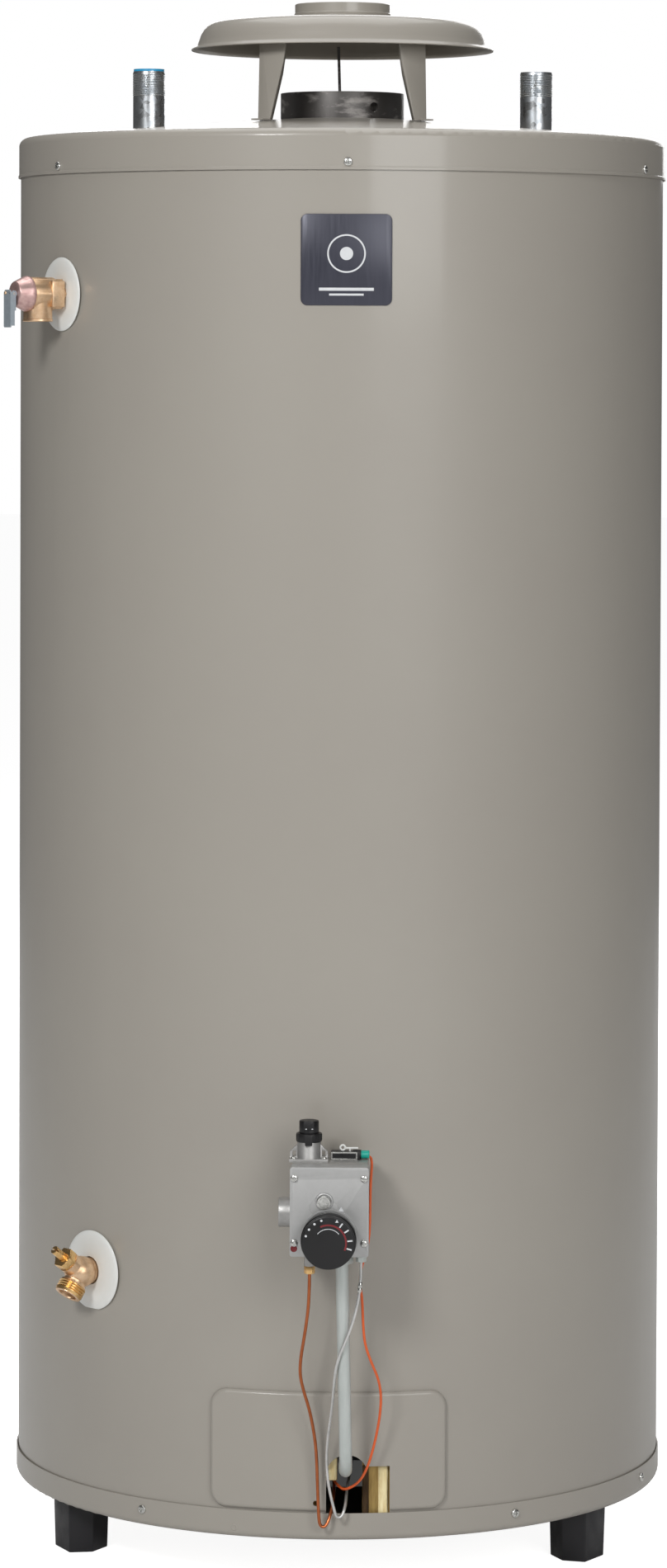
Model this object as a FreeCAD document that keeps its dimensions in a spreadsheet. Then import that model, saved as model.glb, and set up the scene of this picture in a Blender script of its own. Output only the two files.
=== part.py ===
import FreeCAD, Part
import math
import os

import Sketcher

Vec = FreeCAD.Vector

# The tank axis stands on the floor at the origin. +Z is up and the front of the heater faces -Y.
# Everything is in millimetres. Azimuths are in degrees from the front, positive towards +X.
SIZES = {
    # casing
    "jacket_rad": 336.55, "skin": 1.2, "jacket_foot": 62, "jacket_top": 1440,
    "pan_floor": 57, "pan_rim": 84.5, "pan_rad": 338.5, "pan_hole_rad": 110,
    "cover_hem": 1413.6, "cover_rad": 338.3, "cover_shoulder": 1455, "cover_peak": 1476.6,
    "cover_hole_rad": 66.5, "panel_rise": 5, "panel_low": 87, "panel_high": 205,
    "panel_half_angle": 20.2, "panel_corner": 16, "screw_head_rad": 4.4, "screw_head": 2.2,
    "access_left": -1.5, "access_right": 61.4, "access_top": 131.8, "arch_rad": 20.6,
    "badge_side": 90, "badge_thick": 1.2, "badge_corner": 6.5, "badge_height": 1325,
    "foot_wide": 37, "foot_deep": 46, "foot_side": 7.5, "foot_ring": 293,
    # tank
    "tank_rad": 279.5, "tank_wall": 3, "tank_top": 1396, "tank_floor": 214,
    "flue_rad": 60.5, "flue_wall": 3.2, "flue_low": 268, "flue_high": 1478,
    "collar_rad": 64.6, "collar_low": 1436, "collar_high": 1504, "collar_hole_rad": 5,
    "baffle_wide": 100, "baffle_thick": 1.6, "baffle_low": 380, "hanger_rad": 1.5,
    "nipple_span": 203.2, "nipple_rad": 16.7, "nipple_bore": 12.5, "nipple_low": 1404,
    "nipple_high": 1527, "ring_high": 1529.5, "spud_rad": 24, "thread_rad": 16.4,
    "thread_long": 26, "anode_rad": 10,
    "anode_setback": 150, "dip_rad": 9, "dip_low": 360,
    "foam_low": 262, "foam_high": 1438, "fibre_low": 60, "fibre_high": 256,
    # draft hood
    "vent_rad": 50, "vent_top": 1597.5, "vent_base": 1583, "hood_lip_rad": 158.6,
    "hood_lip": 1548.5, "hood_skin": 1, "leg_ring": 134, "leg_skin": 1.5,
    # relief valve, along its own axis from the jacket surface
    "relief_height": 1291.4, "relief_body_rad": 17, "relief_shank_rad": 13.2,
    "relief_outlet_rad": 14.7, "relief_outlet_bore": 12, "relief_outlet_drop": 28,
    "relief_outlet_out": 28.5, "relief_plate_rad": 37.4, "relief_pin_out": 59.5,
    "relief_face": 56, "lever_wide": 14, "lever_skin": 1.2, "lever_long": 34,
    # drain valve
    "drain_height": 305.5, "drain_plate_rad": 40, "drain_ball_rad": 16, "drain_ball_out": 17,
    "hose_rad": 13.4, "hose_bore": 9.5, "stem_rad": 4.2,
    # gas control
    "valve_across": 3.3, "valve_front": 431, "valve_back": 352, "valve_half": 38.3,
    "valve_low": 356.6, "valve_high": 443.7, "cover_deep": 20, "dial_rad": 27,
    "dial_height": 375.4, "dial_front": 460, "dial_back": 436, "knob_across": -17.8,
    "knob_setback": 390, "knob_rad": 12.4, "knob_low": 463, "knob_high": 471,
    "button_rad": 9.6, "button_high": 483.5, "tower_rad": 11.6, "green_rad": 4,
    "probe_rad": 6.35, "probe_height": 400, "inlet_rad": 14.6, "inlet_bore": 9.2,
    "inlet_height": 392,
    # burner train
    "manifold_rad": 6.35, "burner_rad": 110, "burner_low": 168, "running_gap": 0.05,
}


class Size:
    """A length that carries its value and the sheet formula that gives it."""

    def __init__(self, value, formula):
        self.value = value
        self.formula = formula

    def joined(self, other, sign, result):
        text = other.formula if isinstance(other, Size) else str(other)
        return Size(result, "(" + self.formula + " " + sign + " " + text + ")")

    def __add__(self, other):
        return self.joined(other, "+", self.value + number(other))

    def __sub__(self, other):
        return self.joined(other, "-", self.value - number(other))

    def __mul__(self, other):
        return self.joined(other, "*", self.value * number(other))

    def __truediv__(self, other):
        return self.joined(other, "/", self.value / number(other))

    def __neg__(self):
        return Size(-self.value, "(0 - " + self.formula + ")")


def number(item):
    """The plain number of a size, or of a number."""
    return item.value if isinstance(item, Size) else item


doc = FreeCAD.newDocument("water_heater")
sheet = doc.addObject("Spreadsheet::Sheet", "sizes")
for row, (alias, amount) in enumerate(SIZES.items(), start=1):
    sheet.set("A%d" % row, alias)
    sheet.set("B%d" % row, str(amount))
    sheet.setAlias("B%d" % row, alias)
doc.recompute()


class Sheet:
    """Gives each cell of the sheet as a Size by its alias."""

    def __getattr__(self, alias):
        return Size(float(sheet.get(alias)), "sizes." + alias)


S = Sheet()
nodes = {}
ORIGIN = FreeCAD.Placement()


def keep(name, obj):
    """Makes an object a finished sub-part with this name."""
    obj.Label = name
    nodes[name] = obj
    return obj


def bind(obj, prop, size):
    """Sets a property from a size, through its formula where it has one."""
    if isinstance(size, Size):
        obj.setExpression(prop, size.formula)
    else:
        setattr(obj, prop, size)


def put(obj, x=0, y=0, z=0, rotation=None, base=ORIGIN):
    """Places an object at a point of a base frame, with a turn."""
    turn = rotation or FreeCAD.Rotation()
    obj.Placement = base.multiply(FreeCAD.Placement(Vec(number(x), number(y), number(z)), turn))
    return obj


def towards(direction):
    """The turn that takes +Z to a direction."""
    return FreeCAD.Rotation(Vec(0, 0, 1), Vec(*direction))


def block(x0, x1, y0, y1, z0, z1, base=ORIGIN):
    """A box between two corners."""
    obj = doc.addObject("Part::Box", "block")
    sides = zip(("Length", "Width", "Height"), (x0, y0, z0), (x1, y1, z1))
    for prop, low, high in sides:
        length = -(low - high) if isinstance(low, Size) else high - low
        bind(obj, prop, length)
    return put(obj, x0, y0, z0, base=base)


def rod(rad, length, x=0, y=0, z=0, along=(0, 0, 1), base=ORIGIN):
    """A cylinder from a point along a direction."""
    obj = doc.addObject("Part::Cylinder", "rod")
    bind(obj, "Radius", rad)
    bind(obj, "Height", length)
    return put(obj, x, y, z, towards(along), base)


def hexagon(across_flats, length, x=0, y=0, z=0, along=(0, 0, 1), base=ORIGIN):
    """A hexagonal prism from a point along a direction."""
    obj = doc.addObject("Part::Prism", "hexagon")
    obj.Polygon = 6
    bind(obj, "Circumradius", across_flats / math.sqrt(3))
    bind(obj, "Height", length)
    return put(obj, x, y, z, towards(along), base)


def ball(rad, x=0, y=0, z=0, base=ORIGIN):
    """A sphere."""
    obj = doc.addObject("Part::Sphere", "ball")
    bind(obj, "Radius", rad)
    return put(obj, x, y, z, base=base)


def joined(*parts):
    """The union of several solids."""
    obj = doc.addObject("Part::MultiFuse", "joined")
    obj.Shapes = list(parts)
    obj.Refine = True
    return obj


def cut(base, *tools):
    """A solid with others taken away."""
    obj = doc.addObject("Part::Cut", "cut")
    obj.Base = base
    obj.Tool = tools[0] if len(tools) == 1 else grouped(*tools)
    obj.Refine = True
    return obj


def grouped(*parts):
    """Several separate solids as one compound."""
    obj = doc.addObject("Part::Compound", "grouped")
    obj.Links = list(parts)
    return obj


def outline(sketch, points):
    """Draws a closed outline. A point is (x, y), or (x, y, mid_x, mid_y) at the end of an arc."""
    count = len(points)
    for index in range(count):
        here, there = points[index], points[(index + 1) % count]
        start = Vec(number(here[0]), number(here[1]), 0)
        end = Vec(number(there[0]), number(there[1]), 0)
        if len(there) == 4:
            middle = Vec(number(there[2]), number(there[3]), 0)
            left = (middle - start).cross(end - middle).z > 0
            first, last = (start, end) if left else (end, start)
            arc = sketch.addGeometry(Part.Arc(first, middle, last))
            centre, chord = sketch.Geometry[arc].Center, end - start
            level = abs(chord.x) < abs(chord.y)
            kind, size = ("DistanceX", centre.x) if level else ("DistanceY", centre.y)
            sketch.addConstraint(Sketcher.Constraint(kind, -1, 1, arc, 3, size))
        else:
            sketch.addGeometry(Part.LineSegment(start, end))
    starts = [1] * count
    ends = [2] * count
    for index in range(count):
        geometry = sketch.Geometry[index]
        there = points[(index + 1) % count]
        target = Vec(number(there[0]), number(there[1]), 0)
        if (geometry.EndPoint - target).Length > 1e-6:
            starts[index], ends[index] = 2, 1
    for index in range(count):
        after = (index + 1) % count
        sketch.addConstraint(
            Sketcher.Constraint("Coincident", index, ends[index], after, starts[after]))
    for index, point in enumerate(points):
        for kind, axis, size in (("DistanceX", -2, point[0]), ("DistanceY", -1, point[1])):
            if abs(number(size)) < 1e-9:
                sketch.addConstraint(
                    Sketcher.Constraint("PointOnObject", index, starts[index], axis))
                continue
            place = sketch.addConstraint(
                Sketcher.Constraint(kind, -1, 1, index, starts[index], number(size)))
            if isinstance(size, Size):
                sketch.setExpression("Constraints[%d]" % place, size.formula)


def drawn(plane_role, points):
    """A new body with one closed sketch on one of its origin planes."""
    body = doc.addObject("PartDesign::Body", "body")
    sketch = body.newObject("Sketcher::SketchObject", "profile")
    plane = [item for item in body.Origin.OriginFeatures if item.Role == plane_role][0]
    sketch.AttachmentSupport = [(plane, "")]
    sketch.MapMode = "FlatFace"
    outline(sketch, points)
    return body, sketch


def turned(points, base=ORIGIN):
    """A body turned about Z from an outline of (radius, height) points."""
    body, sketch = drawn("XZ_Plane", points)
    turn = body.newObject("PartDesign::Revolution", "turn")
    turn.Profile = sketch
    turn.ReferenceAxis = (sketch, ["V_Axis"])
    turn.Angle = 360
    sketch.Visibility = False
    body.Placement = base
    return body


def plate(points, thickness, base=ORIGIN, role="XY_Plane"):
    """A body padded from a flat outline."""
    body, sketch = drawn(role, points)
    pad = body.newObject("PartDesign::Pad", "pad")
    pad.Profile = sketch
    bind(pad, "Length", thickness)
    body.Placement = base
    return body


def shaped(shape):
    """A Part::Feature that holds a shape made in code."""
    obj = doc.addObject("Part::Feature", "shaped")
    obj.Shape = shape
    return obj


def radial(azimuth, out, height):
    """A frame on a radius: its Z points outwards, its Y points up."""
    angle = math.radians(azimuth)
    outwards = Vec(math.sin(angle), -math.cos(angle), 0)
    across = Vec(0, 0, 1).cross(outwards)
    turn = FreeCAD.Rotation(across, Vec(0, 0, 1), outwards, "ZYX")
    return FreeCAD.Placement(outwards * number(out) + Vec(0, 0, number(height)), turn)


def spun(azimuth):
    """A turn about the tank axis, from the front."""
    return FreeCAD.Placement(Vec(), FreeCAD.Rotation(Vec(0, 0, 1), azimuth))


def ring(outer, inner, low, high):
    """A tube about the tank axis."""
    return cut(rod(outer, high - low, z=low), rod(inner, high - low + 2, z=number(low) - 1))


# ---------------------------------------------------------------- casing

RELIEF_AZIMUTH = -55.7
DRAIN_AZIMUTH = -45.7
COVER_SCREWS = (-56.7, 2.6, 67.9, 128.0, 187.0, 243.0)
PAN_SCREWS = (-33.6, 33.3, 69.5, 127.0, 180.0, 232.0)
COVER_SCREW_HEIGHT = 1421.4
PAN_SCREW_HEIGHT = 73.5
relief_frame = radial(RELIEF_AZIMUTH, S.jacket_rad, S.relief_height)
drain_frame = radial(DRAIN_AZIMUTH, S.jacket_rad, S.drain_height)
VALVE_AZIMUTH = math.degrees(math.asin(number(S.valve_across) / number(S.jacket_rad)))
valve_frame = radial(VALVE_AZIMUTH, S.jacket_rad, S.probe_height)


def screw_places():
    """Frames at each casing screw, their Z outwards."""
    places = [radial(turn, S.cover_rad, COVER_SCREW_HEIGHT) for turn in COVER_SCREWS]
    return places + [radial(turn, S.pan_rad, PAN_SCREW_HEIGHT) for turn in PAN_SCREWS]


def screw_holes():
    """Clearance holes for the casing screws."""
    return [rod(2.2, 12, z=-8, base=place) for place in screw_places()]


def panel_block(shrink, depth):
    """The raised door panel as a block on the jacket, smaller all round by a shrink."""
    inner = S.jacket_rad - depth
    half = number(S.panel_half_angle) - math.degrees(shrink / number(S.jacket_rad))
    body, sketch = drawn("XZ_Plane", [
        (inner, S.panel_low + shrink), (S.jacket_rad + S.panel_rise - shrink, S.panel_low + shrink),
        (S.jacket_rad + S.panel_rise - shrink, S.panel_high - shrink),
        (inner, S.panel_high - shrink)])
    turn = body.newObject("PartDesign::Revolution", "turn")
    turn.Profile = sketch
    turn.ReferenceAxis = (sketch, ["V_Axis"])
    turn.Angle = 2 * half
    turn.Midplane = True
    body.Placement = spun(-90)
    doc.recompute()
    return rounded(body, number(S.panel_corner) - shrink, number(S.panel_rise) * 0.8)


def rounded(body, corner, slope):
    """Rounds the corners of the panel block and its front border."""
    def is_radial(edge):
        ends = [vertex.Point for vertex in edge.Vertexes]
        flat = abs(ends[0].z - ends[1].z) < 0.01
        radii = [math.hypot(end.x, end.y) for end in ends]
        return flat and abs(radii[0] - radii[1]) > 3
    fillet = doc.addObject("Part::Fillet", "corners")
    fillet.Base = body
    fillet.Edges = [(place + 1, corner, corner) for place, edge in enumerate(body.Shape.Edges)
                    if is_radial(edge)]
    doc.recompute()
    front = max(math.hypot(v.X, v.Y) for v in fillet.Shape.Vertexes)
    border = doc.addObject("Part::Fillet", "border")
    border.Base = fillet
    border.Edges = [(place + 1, slope, slope) for place, edge in enumerate(fillet.Shape.Edges)
                    if all(abs(math.hypot(v.X, v.Y) - front) < 0.01 for v in edge.Vertexes)]
    doc.recompute()
    return border


def make_jacket():
    """The painted steel jacket with its raised panel and its openings."""
    outer = joined(rod(S.jacket_rad, S.jacket_top - S.jacket_foot, z=S.jacket_foot),
                   panel_block(0, 6))
    inner = joined(rod(S.jacket_rad - S.skin, S.jacket_top - S.jacket_foot + 2,
                       z=S.jacket_foot - 1), panel_block(number(S.skin), 12))
    arch_x = S.access_left + S.arch_rad
    access = block(S.access_left, S.access_right, -350, -300, 70, S.access_top)
    arch = rod(S.arch_rad, 60, arch_x, -350, S.access_top - 9, along=(0, 1, 0))
    tools = [inner, access, arch, rod(2.7, 60, -11.6, -350, 95, along=(0, 1, 0)),
             rod(14, 30, z=-20, base=relief_frame), rod(14, 30, z=-20, base=drain_frame),
             rod(13, 60, S.valve_across, -360, S.probe_height, along=(0, 1, 0))]
    keep("jacket", cut(outer, *tools, *screw_holes()))


def make_cover():
    """The top cover: a shallow cone with a rounded shoulder, a skirt and a rolled hem."""
    hem = S.cover_hem
    inside = S.cover_rad - S.hood_skin
    shell = turned([
        (S.cover_hole_rad, S.cover_peak), (S.cover_hole_rad, S.cover_peak - S.hood_skin),
        (S.cover_rad - 8.6, S.cover_shoulder - S.hood_skin),
        (inside, S.cover_shoulder - 8, S.cover_rad - 3.3, S.cover_shoulder - 3.5),
        (inside, hem), (S.cover_rad + 0.8, hem), (S.cover_rad + 0.8, hem + 2.4),
        (S.cover_rad, hem + 3.4), (S.cover_rad, S.cover_shoulder - 7.6),
        (S.cover_rad - 8.3, S.cover_shoulder, S.cover_rad - 2.5, S.cover_shoulder - 2.6)])
    nipple_holes = [rod(18, 60, side * number(S.nipple_span), 0, 1430) for side in (-1, 1)]
    keep("top_cover", cut(shell, *nipple_holes, *screw_holes()))


def make_pan():
    """The base pan: a floor with an air hole and an upright rim round the jacket."""
    low, rad = S.pan_floor, S.pan_rad
    pan = turned([
        (S.pan_hole_rad, low), (rad - 6.5, low), (rad, low + 6.5, rad - 1.9, low + 1.9),
        (rad, S.pan_rim), (rad - S.skin, S.pan_rim), (rad - S.skin, low + 6.5),
        (rad - 6.5, low + S.skin, rad - 2.8, low + 2.8), (S.pan_hole_rad, low + S.skin)])
    keep("base_pan", cut(pan, *screw_holes()))


def make_casing_screws():
    """The pan-head screws of the cover and the base pan."""
    screws = []
    for place in screw_places():
        head = rod(S.screw_head_rad, S.screw_head, base=place)
        screws.append(joined(head, rod(2, 7, z=-7, base=place)))
    keep("casing_screws", grouped(*screws))


def make_badge():
    """The badge plate, curved to the jacket."""
    half = S.badge_side / 2
    flat = plate([(-half, -half), (half, -half), (half, half), (-half, half)], 60,
                 base=radial(2.4, S.jacket_rad - 30, S.badge_height))
    doc.recompute()
    fillet = doc.addObject("Part::Fillet", "corners")
    fillet.Base = flat
    fillet.Edges = [(place + 1, number(S.badge_corner), number(S.badge_corner))
                    for place, edge in enumerate(flat.Shape.Edges)
                    if abs(edge.Length - 60) < 0.01]
    high = S.badge_height + S.badge_side
    low = S.badge_height - S.badge_side
    skin = ring(S.jacket_rad + S.badge_thick, S.jacket_rad + 0.02, low, high)
    badge = doc.addObject("Part::MultiCommon", "badge")
    badge.Shapes = [fillet, skin]
    keep("badge_plate", badge)


def make_foot(name, azimuth):
    """One plastic foot: a tapered prism with a flat outer face."""
    wide, deep, side = S.foot_wide / 2, S.foot_deep / 2, S.foot_side
    body, sketch = drawn("XY_Plane", [
        (-wide, deep), (-wide - side, 0), (-wide + side, -deep), (wide - side, -deep),
        (wide + side, 0), (wide, deep)])
    pad = body.newObject("PartDesign::Pad", "pad")
    pad.Profile = sketch
    bind(pad, "Length", S.pan_floor)
    pad.TaperAngle = 1.4
    angle = math.radians(azimuth)
    place = FreeCAD.Placement(
        Vec(number(S.foot_ring) * math.sin(angle), -number(S.foot_ring) * math.cos(angle), 0),
        FreeCAD.Rotation(Vec(0, 0, 1), azimuth + 180))
    body.Placement = place
    keep(name, body)


# ---------------------------------------------------------------- tank

def dome(edge, edge_height, hole, hole_height, steps=5):
    """Points of a domed outline from its edge in to its central hole."""
    points = []
    for step in range(steps + 1):
        inwards = step / steps
        points.append((edge + (hole - edge) * inwards,
                       edge_height + (hole_height - edge_height) * (2 * inwards - inwards ** 2)))
    return points


def make_tank():
    """The tank shell with its skirt, its two heads, the flue and the fittings."""
    inner = S.tank_rad - S.tank_wall
    shell = ring(S.tank_rad, inner, S.pan_floor + S.skin + 0.3, S.tank_top)
    frames = (relief_frame, drain_frame, valve_frame)
    ports = [rod(20.2, 40, z=-80, base=frame) for frame in frames]
    access = block(-15, 45, -300, -240, 50, 165)
    keep("tank_shell", cut(shell, access, *ports))

    hole, edge = S.flue_rad + 0.2, inner - 0.2
    crown = dome(edge, S.tank_top, hole, S.tank_top + 35)
    under = dome(edge - 3, S.tank_top - 3, hole, S.tank_top + 32)
    head = turned([(edge, S.tank_top - 20), *crown, *under[::-1], (edge - 3, S.tank_top - 20)])
    keep("tank_top_head", cut(head, *[rod(24.2, 80, x, y, 1370) for x, y in head_ports()]))
    crown = dome(edge, S.tank_floor, hole, S.tank_floor + 60)
    under = dome(edge - 3, S.tank_floor - 1, hole, S.tank_floor + 57)
    keep("tank_bottom_head", turned([(edge, S.tank_floor - 20), *crown, *under[::-1],
                                     (edge - 3, S.tank_floor - 20)]))
    keep("flue_tube", ring(S.flue_rad, S.flue_rad - S.flue_wall, S.flue_low, S.flue_high))
    collar = ring(S.collar_rad, S.flue_rad + 0.5, S.collar_low, S.collar_high)
    side_hole = rod(S.collar_hole_rad, 30, z=-20, base=radial(32.5, S.collar_rad, 1488))
    keep("flue_collar", cut(collar, side_hole))

    spuds = []
    for x, y in head_ports():
        spuds.append(cut(rod(S.spud_rad, 34, x, y, 1398), rod(S.nipple_rad + 0.1, 40, x, y, 1396)))
    for frame in frames:
        bore = rod(S.relief_shank_rad + 0.1, 40, z=-80, base=frame)
        spuds.append(cut(rod(20, 12, z=-65, base=frame), bore))
    keep("tank_spuds", grouped(*spuds))


def head_ports():
    """Where the nipples and the anode go through the top head."""
    span = number(S.nipple_span)
    return [(-span, 0), (span, 0), (0, number(S.anode_setback))]


def make_tank_fittings():
    """Nipples, dip tube, anode and the flue baffle with its hanger."""
    for name, side in (("cold_nipple", -1), ("hot_nipple", 1)):
        x = side * number(S.nipple_span)
        long = S.nipple_high - S.nipple_low
        pipe = cut(joined(rod(S.nipple_rad, long - S.thread_long, x, 0, S.nipple_low),
                          rod(S.thread_rad, S.thread_long, x, 0, S.nipple_high - S.thread_long)),
                   rod(S.nipple_bore, long + 2, x, 0, S.nipple_low - 1))
        keep(name, pipe)
    cold = -number(S.nipple_span)
    keep("cold_nipple_ring", cut(
        rod(S.thread_rad - 0.3, S.ring_high - S.nipple_high, cold, 0, S.nipple_high),
        rod(S.nipple_bore, 10, cold, 0, S.nipple_high - 2)))
    tube = cut(rod(S.dip_rad, 1150, cold, 0, S.dip_low), rod(S.dip_rad - 1.5, 1160, cold, 0, 350))
    flange = cut(rod(S.nipple_bore - 0.1, 3, cold, 0, 1507), rod(S.dip_rad - 1.5, 9, cold, 0, 1504))
    keep("dip_tube", joined(tube, flange))
    y = S.anode_setback
    keep("anode_rod", joined(rod(S.anode_rad, 1000, 0, y, 420), rod(S.nipple_rad, 30, 0, y, 1402),
                             rod(4, 20, 0, y, 1400), hexagon(27, 9, 0, y, 1432)))

    half = S.baffle_wide / 2
    thin = S.baffle_thick / 2
    strip = block(-half, half, -thin, thin, S.baffle_low, S.flue_high)
    ears = block(-58.5, 58.5, -thin, thin, S.flue_high, S.flue_high + 5)
    vanes = []
    for index in range(8):
        height = 440 + index * 125
        tilt = FreeCAD.Rotation(Vec(1, 0, 0), 40 if index % 2 else -40)
        vane = doc.addObject("Part::Box", "vane")
        vane.Length, vane.Width, vane.Height = 60, 60, 1.6
        put(vane, -30, -23, height if index % 2 else height + 38, tilt)
        vanes.append(vane)
    keep("flue_baffle", joined(strip, ears, *vanes))
    keep("baffle_hanger", rod(S.hanger_rad, 70.5, -2, 0, S.flue_high + 5, along=(-0.03, 0, 1)))


def make_insulation():
    """The foam round the tank and the fibreglass band round the burner chamber."""
    inner, outer = S.tank_rad + 0.5, S.jacket_rad - S.skin - 0.4
    crown = dome(inner, S.tank_top + 2, S.collar_rad + 2, S.tank_top + 38)
    foam = turned([(inner, S.foam_low), (outer, S.foam_low), (outer, S.foam_high),
                   (S.collar_rad + 2, S.foam_high), *crown[::-1]])
    wells = [rod(26, 80, x, y, 1385) for x, y in head_ports()]
    for frame in (relief_frame, drain_frame, valve_frame):
        wells.append(rod(21, 80, z=-70, base=frame))
    keep("foam_insulation", cut(foam, *wells, *[rod(4, 12, z=-10, base=place)
                                                for place in screw_places()]))
    band = ring(S.jacket_rad - S.skin - 1.2, S.tank_rad + 0.5, S.fibre_low, S.fibre_high)
    keep("chamber_insulation", cut(
        band, block(-8, 34.2, -345, -270, 50, 116.3), block(9.2, 34.2, -345, -270, 110, 148),
        block(5.5, 34.2, -325, -270, 110, 148),
        *[rod(4, 16, z=-14, base=place) for place in screw_places()]))


# ---------------------------------------------------------------- draft hood

def make_hood():
    """The draft hood: a domed cap with the vent collar on top, and its four legs."""
    skin, rad = S.hood_skin, S.vent_rad
    lip = S.hood_lip_rad
    keep("draft_hood", turned([
        (rad - skin, S.vent_top), (rad - skin, S.vent_base - skin), (129, 1577.6),
        (147.3, 1564.6, 140.4, 1573.4), (151.6, 1551.6), (lip - 0.7, S.hood_lip),
        (lip, S.hood_lip + 0.7), (152.7, 1553), (148.4, 1565), (129.3, 1578.7, 141.2, 1574.3),
        (rad + 2.6, S.vent_base), (rad, S.vent_base + 2.6, rad + 0.8, S.vent_base + 0.8),
        (rad, S.vent_top)]))
    legs = []
    for azimuth, side in ((38.1, 1), (-34.9, -1), (143.3, 1), (-140.2, -1)):
        mirror = side if abs(azimuth) < 90 else -side
        angle = math.radians(azimuth)
        outwards = Vec(math.sin(angle), -math.cos(angle), 0)
        turn = FreeCAD.Rotation(Vec(0, 0, 1).cross(outwards), Vec(0, 0, 1), outwards, "ZYX")
        place = FreeCAD.Placement(outwards * number(S.leg_ring), turn)
        low = 1471.6
        points = [(7.5, low), (5.2, 1575), (-32, 1573), (-24.5, 1531), (-7.5, low)]
        points = [(mirror * x, z) for x, z in points]
        if mirror < 0:
            points = points[::-1]
        strip = plate(points, S.leg_skin, base=place)
        tab = block(-7.5, 7.5, low, low + 1.5, 0, 13, base=place)
        legs.append(joined(strip, tab))
    keep("hood_legs", grouped(*legs))


# ---------------------------------------------------------------- relief valve

def make_relief_valve():
    """The temperature and pressure relief valve, built outwards along its own axis."""
    base = relief_frame
    keep("relief_escutcheon", turned([
        (14.2, 0.5), (S.relief_plate_rad, 0.5), (S.relief_plate_rad, 1.7), (30, 4.2),
        (14.2, 4.8)], base))
    out = S.relief_outlet_out
    solid = joined(
        rod(S.relief_shank_rad, 62, z=-57, base=base), hexagon(30, 8, z=5, base=base),
        rod(S.relief_body_rad, 26, z=13, base=base),
        rod(S.relief_outlet_rad, S.relief_outlet_drop, z=out, along=(0, -1, 0), base=base))
    bores = [rod(6, 70, z=-58, base=base), rod(11, 28, z=12, base=base),
             rod(S.relief_outlet_bore, 9.4, 0, -S.relief_outlet_drop, out,
                 along=(0, 1, 0), base=base),
             rod(8, 22, 0, -22, out, along=(0, 1, 0), base=base),
             rod(18.05, 22, z=39, base=base)]
    keep("relief_body", cut(solid, *bores))
    keep("relief_bonnet", turned([
        (9.8, 39), (17, 39), (18, 40), (18, 43), (12.5, S.relief_face - 1),
        (11, S.relief_face), (3.05, S.relief_face), (3.05, S.relief_face - 2.5),
        (9.8, S.relief_face - 2.5)], base))
    coil_rad, pitch, corners = 7.4, 5, 8
    turns = [(coil_rad * math.cos(math.tau * step / corners),
              coil_rad * math.sin(math.tau * step / corners), pitch * step / corners)
             for step in range(7 * corners)]
    keep("relief_spring", put(shaped(pipe(turns, 0.8)[0]), z=16.3, base=base))
    pin = number(S.relief_pin_out)
    keep("relief_stem", cut(
        joined(rod(3, 44.9, z=12.1, base=base), rod(2.5, pin + 1.9 - 57, z=57, base=base),
               rod(8.5, 2.8, z=12.1, base=base)),
        rod(1.55, 10, -5, 0, pin, along=(1, 0, 0), base=base)))
    keep("relief_lever_pin", rod(1.5, S.lever_wide, -(S.lever_wide / 2), 0, S.relief_pin_out,
                                 along=(1, 0, 0), base=base))
    half, skin = S.lever_wide / 2, S.lever_skin
    web_low, web_high = S.relief_pin_out + 3.2, S.relief_pin_out + 3.2 + skin
    web = block(-half, half, -S.lever_long, 4, web_low, web_high, base=base)
    ears = []
    for low in (-half, half - skin):
        ear = block(low, low + skin, -(S.lever_long / 2), 2, S.relief_pin_out - 2, web_low, base=base)
        eye = rod(3.2, skin, low, 0, S.relief_pin_out, along=(1, 0, 0), base=base)
        ears += [ear, eye]
    hole = rod(1.5, S.lever_wide, -half, 0, S.relief_pin_out, along=(1, 0, 0), base=base)
    keep("relief_lever", cut(joined(web, *ears), hole))
    keep("relief_probe", rod(3.5, 100, z=-158, base=base))


# ---------------------------------------------------------------- drain valve

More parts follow.
